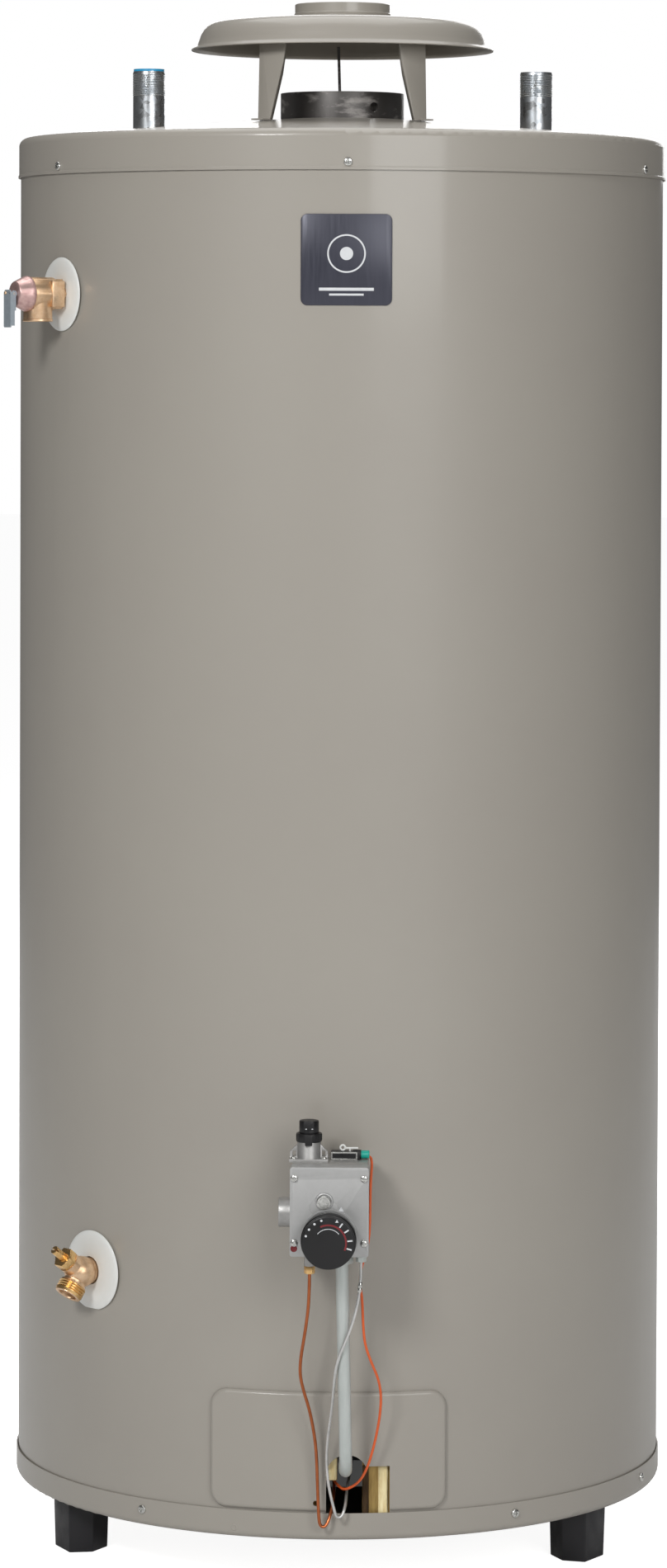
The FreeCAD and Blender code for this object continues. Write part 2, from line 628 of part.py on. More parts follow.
def make_drain_valve():
    """The drain valve: a ball body, a hose outlet below and a stem at a right angle above."""
    base = drain_frame
    tilt = math.radians(38)
    out = number(S.drain_ball_out)
    stem_way = (0, math.sin(tilt), math.cos(tilt))
    hose_way = (0, -math.cos(tilt), math.sin(tilt))
    disc = turned([(14.2, 0.5), (S.drain_plate_rad, 0.5), (S.drain_plate_rad, 1.7), (32, 4.4),
                   (14.2, 5)], base)
    keep("drain_escutcheon", cut(disc, block(-40, 40, -50, -38.6, -1, 9, base=base)))

    def along(way, start):
        return dict(y=way[1] * start, z=out + way[2] * start, along=way, base=base)

    solid = joined(
        rod(S.relief_shank_rad, 57 + out, z=-57, base=base), ball(S.drain_ball_rad, z=out, base=base),
        rod(11.5, 24, **along(hose_way, 0)), rod(S.hose_rad, 13, **along(hose_way, 14)),
        rod(11, 20, **along(stem_way, 0)))
    bores = [rod(6, 57 + out - 6, z=-58, base=base), rod(S.hose_bore, 14, **along(hose_way, 13.2)),
             rod(5, 15, **along(hose_way, 0)), rod(7, 19, **along(stem_way, 1.5))]
    keep("drain_body", cut(solid, *bores))
    keep("drain_bonnet", cut(hexagon(20, 9, **along(stem_way, 20)),
                             rod(S.stem_rad + S.running_gap, 12, **along(stem_way, 19))))
    stem = rod(S.stem_rad, 36, **along(stem_way, 7))
    slot = doc.addObject("Part::Box", "slot")
    slot.Length, slot.Width, slot.Height = 12, 1.4, 4
    turn = FreeCAD.Rotation(Vec(0, 0, 1), Vec(*stem_way))
    start = Vec(0, 0, out) + Vec(*stem_way) * 40
    slot.Placement = base.multiply(FreeCAD.Placement(start, turn)).multiply(
        FreeCAD.Placement(Vec(-6, -0.7, 0), FreeCAD.Rotation()))
    keep("drain_stem", cut(stem, slot))
    keep("drain_washer", rod(6.4, 3.2, **along(stem_way, 3.7)))


# ---------------------------------------------------------------- gas control

def make_gas_valve():
    """The cast body of the gas control, its front cover, screws and plug."""
    x, half = S.valve_across, S.valve_half
    front, deep = S.valve_front, S.cover_deep
    low, high = S.valve_low, S.valve_high
    inset = 1.5
    main = block(x - half + inset, x + half - inset, -(front - deep), -S.valve_back, low + inset, high)
    boss = rod(S.inlet_rad, 14, x - half - 12.5, -384, S.inlet_height, along=(1, 0, 0))
    pilot = rod(5.6, 18, -16.9, -391, 340.5)
    tap = rod(12.5, 6, 14.6, -391, 352.5)
    lead = rod(5.5, 6, 33.6, -391, 352.5)
    shank = rod(12, S.valve_back - S.jacket_rad + 12, x, -S.valve_back, S.probe_height,
                along=(0, 1, 0))
    neck = rod(S.relief_shank_rad, 46, z=-55.4, base=valve_frame)
    body = joined(main, boss, pilot, tap, lead, shank, neck)
    inlet = rod(S.inlet_bore, 16.5, x - half - 13, -384, S.inlet_height, along=(1, 0, 0))
    well = rod(4.4, 16, S.knob_across, -S.knob_setback, high - 12)
    keep("gas_valve_body", cut(body, inlet, well))

    slab = block(x - half, x + half, -front, -(front - deep) - 0.1, low, high)
    doc.recompute()
    eased = doc.addObject("Part::Fillet", "eased")
    eased.Base = slab
    eased.Edges = [(place + 1, 2.5, 2.5) for place, edge in enumerate(slab.Shape.Edges)
                   if abs(edge.Vertexes[0].Point.y - edge.Vertexes[1].Point.y) > 5]
    places = [(number(x) + sx * 34, z) for sx in (-1, 1) for z in (370, 433)]
    holes = [rod(1.8, 8, px, -front - 1, z, along=(0, 1, 0)) for px, z in places]
    shaft_hole = rod(4.05, 14, x, -front - 1, S.dial_height, along=(0, 1, 0))
    keep("gas_valve_cover", cut(eased, shaft_hole, *holes))

    screws = []
    for px, z in places:
        screws.append(joined(rod(3.3, 2, px, -front - 2, z, along=(0, 1, 0)),
                             rod(1.6, 6, px, -front, z, along=(0, 1, 0))))
    for side in (-1, 1):
        spot = number(S.knob_across) + side * 15
        screws.append(rod(2.4, 1.8, spot, -S.knob_setback - 7.5, high + 3))
    keep("gas_valve_screws", grouped(*screws))
    keep("gas_valve_plug", rod(6.8, 2.6, -2, -front - 2.6, 409.6, along=(0, 1, 0)))


def make_controls():
    """The dial, the gas knob with its reset button, and the igniter."""
    x = S.valve_across
    keep("temperature_dial", joined(
        rod(S.dial_rad, 8, x, -444, S.dial_height, along=(0, 1, 0)),
        rod(S.dial_rad - 1, S.dial_front - 444, x, -S.dial_front, S.dial_height, along=(0, 1, 0))))
    keep("dial_shaft", rod(4, 14, x, -S.dial_back, S.dial_height, along=(0, 1, 0)))

    kx, ky, top = S.knob_across, -S.knob_setback, S.valve_high
    base = block(kx - 19, kx + 19, ky - 12, ky + 12, top, top + 3)
    middle = FreeCAD.Placement(Vec(number(kx), number(ky) + 2.5, 0), FreeCAD.Rotation())
    web = plate([(-18.5, top + 2), (18.5, top + 2), (18.5, top + 9), (11, top + 17),
                 (-11, top + 17), (-18.5, top + 9)], 5, middle, "XZ_Plane")
    windows = [block(side * 14.4 - 1.6, side * 14.4 + 1.6, -8, 8, top + 4.5, top + 10,
                     base=FreeCAD.Placement(Vec(number(kx), number(ky), 0), FreeCAD.Rotation()))
               for side in (-1, 1)]
    tower = joined(base, cut(web, *windows),
                   rod(S.tower_rad, S.knob_low - 0.4 - top, kx, ky, top))
    keep("knob_tower", cut(tower, rod(4.4, 30, kx, ky, top - 5)))
    skirt = rod(S.knob_rad, S.knob_high - S.knob_low, kx, ky, S.knob_low)
    pointer = block(kx - 3.6, kx + 3.6, ky - 14.6, ky - 11.9, S.knob_low - 2.6, S.knob_high)
    keep("gas_knob", cut(joined(skirt, pointer, rod(4.3, 16, kx, ky, S.knob_low - 13)),
                         rod(S.button_rad + S.running_gap, 20, kx, ky, S.knob_low + 1.5)))
    keep("reset_button", rod(S.button_rad, S.button_high - S.knob_high + 1, kx, ky,
                             S.knob_high - 1))

    green, height, setback = S.green_rad, top + 4.7, -379
    shell = block(3.5, 31.6, setback - 7, setback + 7, top + 0.1, top + 7.9)
    collar = rod(green + 0.6, 8, 25, setback, height, along=(1, 0, 0))
    keep("igniter_housing", cut(
        joined(shell, collar),
        rod(green + S.running_gap, 12, 24.5, setback, height, along=(1, 0, 0))))
    keep("igniter_button", rod(green, 12, 29, setback, height, along=(1, 0, 0)))
    loop = doc.addObject("Part::Torus", "loop")
    loop.Radius1, loop.Radius2 = 2.4, 1
    put(loop, 15, -380, top + 11.4, towards((0, 1, 0)))
    keep("igniter_clip", joined(loop, rod(1, 13, 17, -380, top + 11, along=(1, 0, 0)),
                                rod(1, 3.1, 22, -380, top + 7.9)))
    keep("thermostat_probe", rod(S.probe_rad, 170, x, -281, S.probe_height, along=(0, 1, 0)))
    keep("tube_nuts", grouped(
        cut(hexagon(9.4, 7.4, -16.9, -391, 333), rod(1.65, 30, -16.9, -391, 330)),
        cut(hexagon(20, 9, 14.6, -391, 343.4), rod(6.9, 30, 14.6, -391, 330)),
        cut(hexagon(9, 7.4, 33.6, -391, 345), rod(1.6, 30, 33.6, -391, 330))))


# ---------------------------------------------------------------- tubes and wires

def bent_path(points):
    """Straight runs joined by tangent arcs, as large as the runs allow. Prints the radii."""
    places = [Vec(*point) for point in points]
    edges, radii = [], []
    last = places[0]
    for before, here, after in zip(places, places[1:], places[2:]):
        inwards, outwards = (here - before), (after - here)
        turn = inwards.getAngle(outwards)
        reach = 0.45 * min(inwards.Length, outwards.Length)
        radii.append(reach / math.tan(turn / 2))
        start = here - inwards.normalize() * reach
        end = here + outwards.normalize() * reach
        towards_centre = (end + start) * 0.5 - here
        distance = radii[-1] / math.cos(turn / 2)
        middle = here + towards_centre.normalize() * (distance - radii[-1])
        edges.append(Part.LineSegment(last, start).toShape())
        edges.append(Part.Arc(start, middle, end).toShape())
        last = end
    edges.append(Part.LineSegment(last, places[-1]).toShape())
    return Part.Wire(edges), radii


def pipe(points, rad):
    """A round solid along a bent path. Gives the solid, the path and its bend radii."""
    path, radii = bent_path(points)
    start = Vec(*points[0])
    section = Part.Wire(Part.makeCircle(rad, start, Vec(*points[1]) - start))
    return path.makePipeShell([section], True, True), path, radii


def tube(name, points, rad):
    """A tube along a bent path, with its volume checked against section times length."""
    shape, path, radii = pipe(points, rad)
    expected = math.pi * rad * rad * path.Length
    print("%s: length %.1f, smallest radius %.1f (%.1f diameters), volume ratio %.4f" % (
        name, path.Length, min(radii), min(radii) / (2 * rad), shape.Volume / expected))
    keep(name, shaped(shape))


PILOT_TUBE = (
    (-16.9, -391, 340.4), (-16.9, -391, 328), (-17.2, -390.8, 314), (-18.2, -389.5, 296),
    (-21.5, -386, 272), (-25.6, -381, 248), (-26.6, -376, 230), (-22.8, -370, 212),
    (-17.8, -365, 195), (-14.4, -361, 178), (-11.4, -357.5, 158), (-10.2, -355, 138),
    (-9.6, -353.4, 118), (-9, -352.4, 101), (-8.4, -351.8, 86), (-7.2, -351, 74.6),
    (-1.4, -350, 73.6), (3, -346.4, 83.8), (5, -336, 95), (6, -316, 102), (4.6, -286, 107),
    (1, -245, 112), (-0.4, -210, 121), (-1, -180, 134), (-1, -160, 148.6))
THERMOCOUPLE = (
    (33.6, -391, 352.4), (33.6, -391.3, 341), (33.2, -393, 328), (31.6, -396, 312),
    (28.4, -398, 296), (23.6, -398, 280), (17.6, -396.6, 265), (11.6, -394, 250),
    (8.2, -388.4, 234), (6.8, -380.6, 216), (5, -372, 197), (2.4, -364.5, 178),
    (0.2, -359, 160), (-0.8, -356, 142), (0.2, -354.4, 125), (2.6, -353.2, 109),
    (6.2, -352.2, 94.4), (8.8, -351.4, 83.6), (14.4, -349.6, 83.6), (17.6, -345, 92.4),
    (18.4, -332, 100), (18.6, -310, 105), (20, -280, 109), (21, -245, 113), (21.4, -210, 121),
    (20, -180, 134), (18, -160, 148.6))
IGNITER_WIRE = (
    (31.8, -373.4, 445.6), (41.8, -372.6, 447.2), (43.6, -372, 438), (42.4, -372.6, 425),
    (41.9, -373.6, 406), (41.8, -376, 386), (41.2, -379.6, 368), (38.4, -382.6, 352),
    (33.6, -383.6, 338), (32, -385.4, 323), (34.6, -387.2, 308), (35.2, -387, 293),
    (36, -384, 276), (37.6, -382, 261),
    (43.6, -377, 243), (50.6, -371.5, 226), (53.4, -366, 208), (52.2, -361, 189),
    (49, -357.5, 169), (44.6, -355, 150), (39.4, -353.2, 133), (32.4, -351.6, 120),
    (23.6, -349, 113), (15.6, -340, 108.4), (8.4, -326, 111), (3.6, -304, 112.4),
    (-1.4, -276, 113), (-5, -245, 115.4), (-7.6, -210, 122), (-9, -180, 134), (-9, -160, 148.6))


def make_burner_train():
    """The manifold tube, the burner, the pilot and the lines that feed them."""
    bend = 24
    top, low, heart = Vec(14.6, -391, 351.9), Vec(19.2, -379.5, 132), Vec(0, 0, 132)
    down, level = (low - top).normalize(), (heart - low).normalize()
    turn = down.getAngle(level)
    reach = bend * math.tan(turn / 2)
    start, end = low - down * reach, low + level * reach
    chord = ((start + end) * 0.5 - low).normalize()
    middle = low + chord * (bend / math.cos(turn / 2) - bend)
    rise_start, rise_end = heart - level * 18, heart + Vec(0, 0, 18)
    chord = ((rise_start + rise_end) * 0.5 - heart).normalize()
    corner = heart + chord * (18 / math.cos(math.pi / 4) - 18)
    edges = [Part.LineSegment(top, start), Part.Arc(start, middle, end),
             Part.LineSegment(end, rise_start), Part.Arc(rise_start, corner, rise_end)]
    path = Part.Wire([edge.toShape() for edge in edges])
    rad = number(S.manifold_rad)
    outer = path.makePipeShell([Part.Wire(Part.makeCircle(rad, top, down))], True, True)
    inner = path.makePipeShell([Part.Wire(Part.makeCircle(rad - 1.2, top, down))], True, True)
    keep("manifold_tube", shaped(outer.cut(inner)))
    low = S.burner_low
    keep("burner", turned([
        (6.6, 150.5), (20, 150.5), (15, low - 2), (S.burner_rad, low), (S.burner_rad, low + 10),
        (S.burner_rad - 14, low + 16), (0, low + 16), (0, low + 4), (6.6, low - 4)]))
    keep("pilot_assembly", joined(
        block(-14, 23, -170, -122, 150, 152), block(-12.5, 12.5, -130, -124, 152, 180),
        rod(4, 14, -1, -160, 152), rod(3, 20, 18, -160, 152), rod(3, 18, -9, -160, 152)))
    tube("pilot_tube", PILOT_TUBE, 1.6)
    tube("thermocouple_lead", THERMOCOUPLE, 1.5)
    tube("igniter_wire", IGNITER_WIRE, 1.3)


def write_parts():
    """Checks every object and writes each sub-part to its own file."""
    doc.recompute()
    failed = [obj.Label for obj in doc.Objects if {"Invalid", "Error"} & set(obj.State)]
    for name, obj in nodes.items():
        if obj.Shape.isNull() or not obj.Shape.isValid() or not obj.Shape.Solids:
            failed.append(name)
    if failed:
        raise RuntimeError("failed: " + ", ".join(failed))
    os.makedirs("parts", exist_ok=True)
    for name, obj in nodes.items():
        obj.Shape.exportStep("parts/%s.step" % name)
    print("%d sub-parts written" % len(nodes))


make_jacket()
make_cover()
make_pan()
make_casing_screws()
make_badge()
for foot_name, foot_azimuth in (("foot_left", -61.9), ("foot_right", 58.1), ("foot_rear", 178.1)):
    make_foot(foot_name, foot_azimuth)
make_tank()
make_tank_fittings()
make_insulation()
make_hood()
make_relief_valve()
make_drain_valve()
make_gas_valve()
make_controls()
make_burner_train()
write_parts()
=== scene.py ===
"""Looks of a gas storage water heater: enamelled jacket, draft hood, valves and gas control."""
import logging
import math
from dataclasses import dataclass
from enum import Enum
from typing import Any, Callable, Optional, Sequence

import bpy
from mathutils import Matrix, Vector


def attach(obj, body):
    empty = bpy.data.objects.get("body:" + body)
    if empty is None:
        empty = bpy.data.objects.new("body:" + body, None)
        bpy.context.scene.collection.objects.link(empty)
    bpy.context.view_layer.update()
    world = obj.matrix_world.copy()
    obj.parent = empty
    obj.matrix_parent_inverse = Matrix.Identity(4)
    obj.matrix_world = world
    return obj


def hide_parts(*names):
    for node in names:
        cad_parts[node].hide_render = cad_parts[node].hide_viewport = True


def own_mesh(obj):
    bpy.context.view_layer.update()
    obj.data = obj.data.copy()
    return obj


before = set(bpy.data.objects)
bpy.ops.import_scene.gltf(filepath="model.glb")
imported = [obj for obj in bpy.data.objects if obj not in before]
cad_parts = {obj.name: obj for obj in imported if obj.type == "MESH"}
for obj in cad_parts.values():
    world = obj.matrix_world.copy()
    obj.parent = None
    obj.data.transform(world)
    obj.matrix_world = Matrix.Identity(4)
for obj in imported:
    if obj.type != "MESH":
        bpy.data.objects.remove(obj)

LOG = logging.getLogger("water_heater")
MM = 0.001
BODY = "heater"
JACKET_RAD = 336.55
THREAD_DEG = 20.0
Point = tuple[float, float, float]


def linear(code: str) -> tuple[float, float, float, float]:
    """Turns an sRGB hex code into a linear colour.

    Args:
        code: six hex digits, without a sign in front.

    Returns:
        Linear red, green, blue, and an alpha of 1.
    """
    parts = [int(code[place:place + 2], 16) / 255 for place in (0, 2, 4)]
    lit = [part / 12.92 if part <= 0.04045 else ((part + 0.055) / 1.055) ** 2.4 for part in parts]
    return lit[0], lit[1], lit[2], 1.0


def add(tree: bpy.types.NodeTree, kind: str, settings: Optional[dict[Any, Any]] = None,
        links: Optional[dict[Any, bpy.types.NodeSocket]] = None) -> bpy.types.Node:
    """Adds a node with its settings and its incoming links.

    Args:
        tree: the node tree to add to.
        kind: the node's type name.
        settings: values by input name or number, or by attribute name.
        links: output sockets by the input name or number that they feed.

    Returns:
        The new node.
    """
    made = tree.nodes.new(kind)
    for key, value in (settings or {}).items():
        if isinstance(key, int) or key in made.inputs:
            made.inputs[key].default_value = value
        else:
            setattr(made, key, value)
    for key, socket in (links or {}).items():
        tree.links.new(socket, made.inputs[key])
    return made


class Pattern(Enum):
    """How a surface varies."""

    CLOUD = "soft patches of tone"
    SPANGLE = "zinc crystals"
    BRUSHED = "fine lines along an axis"
    WOOL = "matted fibres"
    CAST = "sand-cast skin"
    RUBBED = "dark skin rubbed bright in streaks"


@dataclass(frozen=True)
class Finish:
    """One material: what it is, how it was made and how it takes the light."""

    name: str
    colour: str
    tone: str
    metallic: float = 0.0
    roughness: float = 0.5
    spread: float = 0.08
    pattern: Pattern = Pattern.CLOUD
    patch_mm: float = 60.0
    grain_mm: float = 1.0
    relief: float = 0.1
    coat: float = 0.0
    coat_roughness: float = 0.2
    stretch: Point = (1.0, 1.0, 1.0)
    mixing: float = 0.5
    slot: str = ""

    def material(self) -> bpy.types.Material:
        """Builds the material once and gives it back afterwards.

        Returns:
            The material.
        """
        ready = bpy.data.materials.get(self.name)
        if ready:
            return ready
        made = bpy.data.materials.new(self.name)
        made.use_nodes = True
        tree = made.node_tree
        tree.nodes.clear()
        place = add(tree, "ShaderNodeTexCoord")
        spaced = add(tree, "ShaderNodeMapping", {"Scale": self.stretch},
                     {"Vector": place.outputs["Object"]}).outputs[0]
        patches = self.patches(tree, spaced)
        grain = add(tree, "ShaderNodeTexNoise",
                    {"Scale": 1 / (self.grain_mm * MM), "Detail": 3.0, "Roughness": 0.55},
                    {"Vector": spaced}).outputs[0]
        tint = add(tree, "ShaderNodeMix",
                   {"data_type": "RGBA", 6: linear(self.colour), 7: linear(self.tone)},
                   {0: self.scaled(tree, patches, self.mixing)}).outputs[2]
        rough = add(tree, "ShaderNodeMapRange",
                    {"To Min": max(self.roughness - self.spread, 0.02),
                     "To Max": min(self.roughness + self.spread, 1.0)},
                    {"Value": patches}).outputs[0]
        bump = add(tree, "ShaderNodeBump",
                   {"Strength": self.relief, "Distance": self.grain_mm * MM * 0.5},
                   {"Height": grain}).outputs[0]
        skin = add(tree, "ShaderNodeBsdfPrincipled",
                   {"Metallic": self.metallic, "Coat Weight": self.coat,
                    "Coat Roughness": self.coat_roughness},
                   {"Base Color": tint, "Roughness": rough, "Normal": bump})
        add(tree, "ShaderNodeOutputMaterial", {}, {"Surface": skin.outputs[0]})
        return made

    def scaled(self, tree: bpy.types.NodeTree, value: bpy.types.NodeSocket,
               amount: float) -> bpy.types.NodeSocket:
        """Gives a value times an amount."""
        return add(tree, "ShaderNodeMath", {"operation": "MULTIPLY", 1: amount},
                   {0: value}).outputs[0]

    def patches(self, tree: bpy.types.NodeTree,
                spaced: bpy.types.NodeSocket) -> bpy.types.NodeSocket:
        """Gives the 0 to 1 variation of the pattern.

        Args:
            tree: the node tree to add to.
            spaced: the coordinates that the pattern follows.

        Returns:
            A socket with the variation.
        """
        size = 1 / (self.patch_mm * MM)
        if self.pattern is Pattern.SPANGLE:
            cells = add(tree, "ShaderNodeTexVoronoi", {"Scale": size}, {"Vector": spaced})
            return add(tree, "ShaderNodeSeparateColor", {}, {0: cells.outputs["Color"]}).outputs[0]
        detail = {Pattern.CLOUD: 4.0, Pattern.BRUSHED: 8.0, Pattern.WOOL: 12.0, Pattern.CAST: 7.0,
                  Pattern.RUBBED: 9.0}
        low, high = (0.5, 0.68) if self.pattern is Pattern.RUBBED else (0.3, 0.7)
        cloud = add(tree, "ShaderNodeTexNoise",
                    {"Scale": size, "Detail": detail[self.pattern], "Roughness": 0.6},
                    {"Vector": spaced}).outputs[0]
        return add(tree, "ShaderNodeMapRange", {"From Min": low, "From Max": high},
                   {"Value": cloud}).outputs[0]


# Sprayed and baked enamel: a low gloss with a faint orange peel of 3 mm and wide soft patches.
BAKED_ENAMEL = Finish(
    "baked_enamel", "9f9a91", "99938b", roughness=0.42, spread=0.03, patch_mm=240, grain_mm=3.2,
    relief=0.03, coat=0.32, coat_roughness=0.12, slot="grey_enamel")
# Hot-dipped zinc on the pipe nipples: bright, with crystals of a few millimetres.
DIPPED_ZINC = Finish(
    "dipped_zinc", "d3d6d8", "a9afb5", metallic=1.0, roughness=0.32, spread=0.1,
    pattern=Pattern.SPANGLE, patch_mm=5, grain_mm=0.8, relief=0.12, mixing=0.8,
    slot="nipple_steel")
# Zinc-plated screw steel: bright and even.
PLATED_SCREW = Finish(
    "plated_screw_steel", "d8d8d4", "b0b0ac", metallic=1.0, roughness=0.28, patch_mm=3,
    grain_mm=0.4, relief=0.1, slot="zinc_screw")
# Hot-rolled flue steel: dark oxide with paler rubbed streaks.
ROLLED_STEEL = Finish(
    "hot_rolled_steel", "4b4846", "a8a4a0", metallic=0.4, roughness=0.5, spread=0.15,
    pattern=Pattern.RUBBED, patch_mm=34, grain_mm=1.2, relief=0.25, stretch=(1.0, 1.0, 2.6),
    mixing=0.9, slot="bare_steel")
# Satin anodised badge plate.
BADGE_PLATE = Finish(
    "anodised_badge_plate", "3c3d48", "454652", metallic=0.3, roughness=0.34, spread=0.05,
    pattern=Pattern.BRUSHED, patch_mm=2.5, grain_mm=0.5, relief=0.05, stretch=(1.0, 1.0, 0.06),
    slot="black_plate")
# Injection-moulded black polypropylene: matt with a fine spark-eroded grain.
MOULDED_BLACK = Finish(
    "moulded_polypropylene", "1c1b1e", "262529", roughness=0.5, spread=0.1, patch_mm=18,
    grain_mm=0.9, relief=0.18, slot="black_plastic")
# Black phenolic of the dial and knob: a low, even sheen.
DIAL_BLACK = Finish(
    "moulded_phenolic", "0c0b0d", "131214", roughness=0.42, spread=0.07, patch_mm=10, grain_mm=0.7,
    relief=0.06, slot="black_plastic")
# White moulded polystyrene of the rose plates: slightly warm and waxy.
MOULDED_WHITE = Finish(
    "moulded_polystyrene", "e2e3e0", "d6d7d2", roughness=0.42, spread=0.06, patch_mm=25,
    grain_mm=1.1, relief=0.05, slot="white_plastic")
# Moulded nylon of the igniter button: saturated, slightly shiny.
MOULDED_GREEN = Finish(
    "moulded_green_nylon", "0ba694", "0a9787", roughness=0.35, spread=0.05, patch_mm=4,
    grain_mm=0.5, relief=0.06, slot="green_plastic")
# Moulded polyethylene ring of the cold nipple: bright and waxy.
MOULDED_BLUE = Finish(
    "moulded_blue_polyethylene", "2f9fd0", "2790c0", roughness=0.4, spread=0.05, patch_mm=5,
    grain_mm=0.5, relief=0.06)
# Die-cast aluminium: pale grey, matt, with a slightly mottled skin.
DIE_CAST = Finish(
    "die_cast_aluminium", "b4b3b1", "999896", metallic=0.75, roughness=0.48, spread=0.1,
    pattern=Pattern.CAST, patch_mm=7, grain_mm=0.7, relief=0.2, slot="cast_aluminium")
# Silver paint on the gas control's cover.
SILVER_PAINT = Finish(
    "silver_paint", "b3b3b2", "a6a6a5", metallic=0.45, roughness=0.44, spread=0.08,
    pattern=Pattern.CAST, patch_mm=9, grain_mm=0.6, relief=0.12, slot="valve_paint")
# Aluminised steel tube of the manifold: grey-green, matt.
ALUMINISED = Finish(
    "aluminised_tube", "c3c8c5", "aeb5b1", metallic=0.35, roughness=0.42, spread=0.08,
    pattern=Pattern.BRUSHED, patch_mm=6, grain_mm=0.8, relief=0.1, stretch=(1.0, 1.0, 0.15))
# Sand-cast and machined brass.
CAST_BRASS = Finish(
    "cast_brass", "efd0ae", "c99f76", metallic=1.0, roughness=0.38, spread=0.12,
    pattern=Pattern.CAST, patch_mm=6, grain_mm=0.7, relief=0.25, mixing=0.7, slot="brass")
# Copper-plated bonnet of the relief valve.
PLATED_COPPER = Finish(
    "copper_plate", "dcbcb6", "90565a", metallic=0.8, roughness=0.4, spread=0.1, patch_mm=6,
    grain_mm=0.6, relief=0.2, slot="copper")
# Drawn copper tube: warm, with browner handled patches.
DRAWN_COPPER = Finish(
    "drawn_copper", "c07048", "9c5a3c", metallic=1.0, roughness=0.36, spread=0.1, patch_mm=9,
    grain_mm=0.5, relief=0.1)
# Drawn bright steel of the spring and the silver line.
DRAWN_STEEL = Finish(
    "drawn_steel", "dcdcda", "b9b9b7", metallic=0.75, roughness=0.34, spread=0.1, patch_mm=8,
    grain_mm=0.5, relief=0.1, slot="spring_steel")
# Zinc-plated spring steel of the test lever: bluish grey.
LEVER_STEEL = Finish(
    "plated_spring_steel", "aab4bc", "8d98a2", metallic=0.45, roughness=0.4, patch_mm=5,
    grain_mm=0.6, relief=0.12, slot="lever_steel")
# Silicone sleeve of the igniter lead.
SLEEVE_ORANGE = Finish(
    "silicone_sleeve", "e0622c", "cf5626", roughness=0.45, spread=0.05, patch_mm=7, grain_mm=0.5,
    relief=0.08)
# Fibreglass blanket: matted yellow wool with brown binder.
GLASS_WOOL = Finish(
    "fibreglass_blanket", "c8aa68", "6a4a1e", roughness=0.95, spread=0.04, pattern=Pattern.WOOL,
    patch_mm=12, grain_mm=1.6, relief=1.0, mixing=1.0, stretch=(1.6, 1.0, 0.16), slot="fibreglass")
# Cream fibreglass: a painted highlight where a fold of the blanket faces the light.
WOOL_PAINTED_HIGHLIGHT = Finish(
    "fibreglass_painted_highlight", "fbeec0", "d9be80", roughness=0.95, spread=0.04, pattern=Pattern.WOOL,
    patch_mm=6, grain_mm=1.4, relief=1.0, mixing=0.8, stretch=(1.6, 1.0, 0.3), slot="fibreglass")
# Dark brown fibreglass: painted shade deep in the opening.
WOOL_PAINTED_SHADE = Finish(
    "fibreglass_painted_shade", "4a3418", "1c130a", roughness=0.95, spread=0.04, pattern=Pattern.WOOL,
    patch_mm=5, grain_mm=1.4, relief=1.0, mixing=0.8, stretch=(2.0, 1.0, 0.2), slot="fibreglass")
# Foamed polyurethane: yellow and matt.
RIGID_FOAM = Finish(
    "rigid_foam", "cdbb7a", "b9a565", roughness=0.9, spread=0.05, pattern=Pattern.WOOL,
    patch_mm=10, grain_mm=2, relief=0.5)
# Glass-lined tank steel: its own dark colour deepened to near black as painted shade for the
# inside seen through the opening.
GLASS_LINING = Finish(
    "glass_lined_steel", "0c0d10", "141519", roughness=0.7, patch_mm=40, grain_mm=2, relief=0.1)
# Cast magnesium rod: dull grey.
MAGNESIUM = Finish(
    "magnesium_rod", "9a9c9c", "85888a", metallic=0.8, roughness=0.5, patch_mm=8, grain_mm=1,
    relief=0.2)
# Moulded rubber of the valve seat: black and matt.
SEAT_RUBBER = Finish(
    "seat_rubber", "262626", "303030", roughness=0.75, patch_mm=5, grain_mm=0.5, relief=0.1)

# Screen ink of the marks: plain pale paint.
PALE_INK = Finish(
    "pale_screen_ink", "d6d8da", "c6c8cb", roughness=0.5, spread=0.05, patch_mm=6, grain_mm=0.4,
    relief=0.04, slot="white_plastic")
# Dark red sealing paint.
RED_SEAL = Finish(
    "red_sealing_paint", "7a1d22", "651a1e", roughness=0.42, spread=0.06, patch_mm=4, grain_mm=0.4,
    relief=0.06, slot="valve_paint")
# Lathe-turned brass: brighter than the casting, with fine rings.
TURNED_BRASS = Finish(
    "turned_brass", "f0c98c", "cf9f62", metallic=1.0, roughness=0.3, spread=0.08, patch_mm=5,
    grain_mm=0.35, relief=0.12, slot="brass")

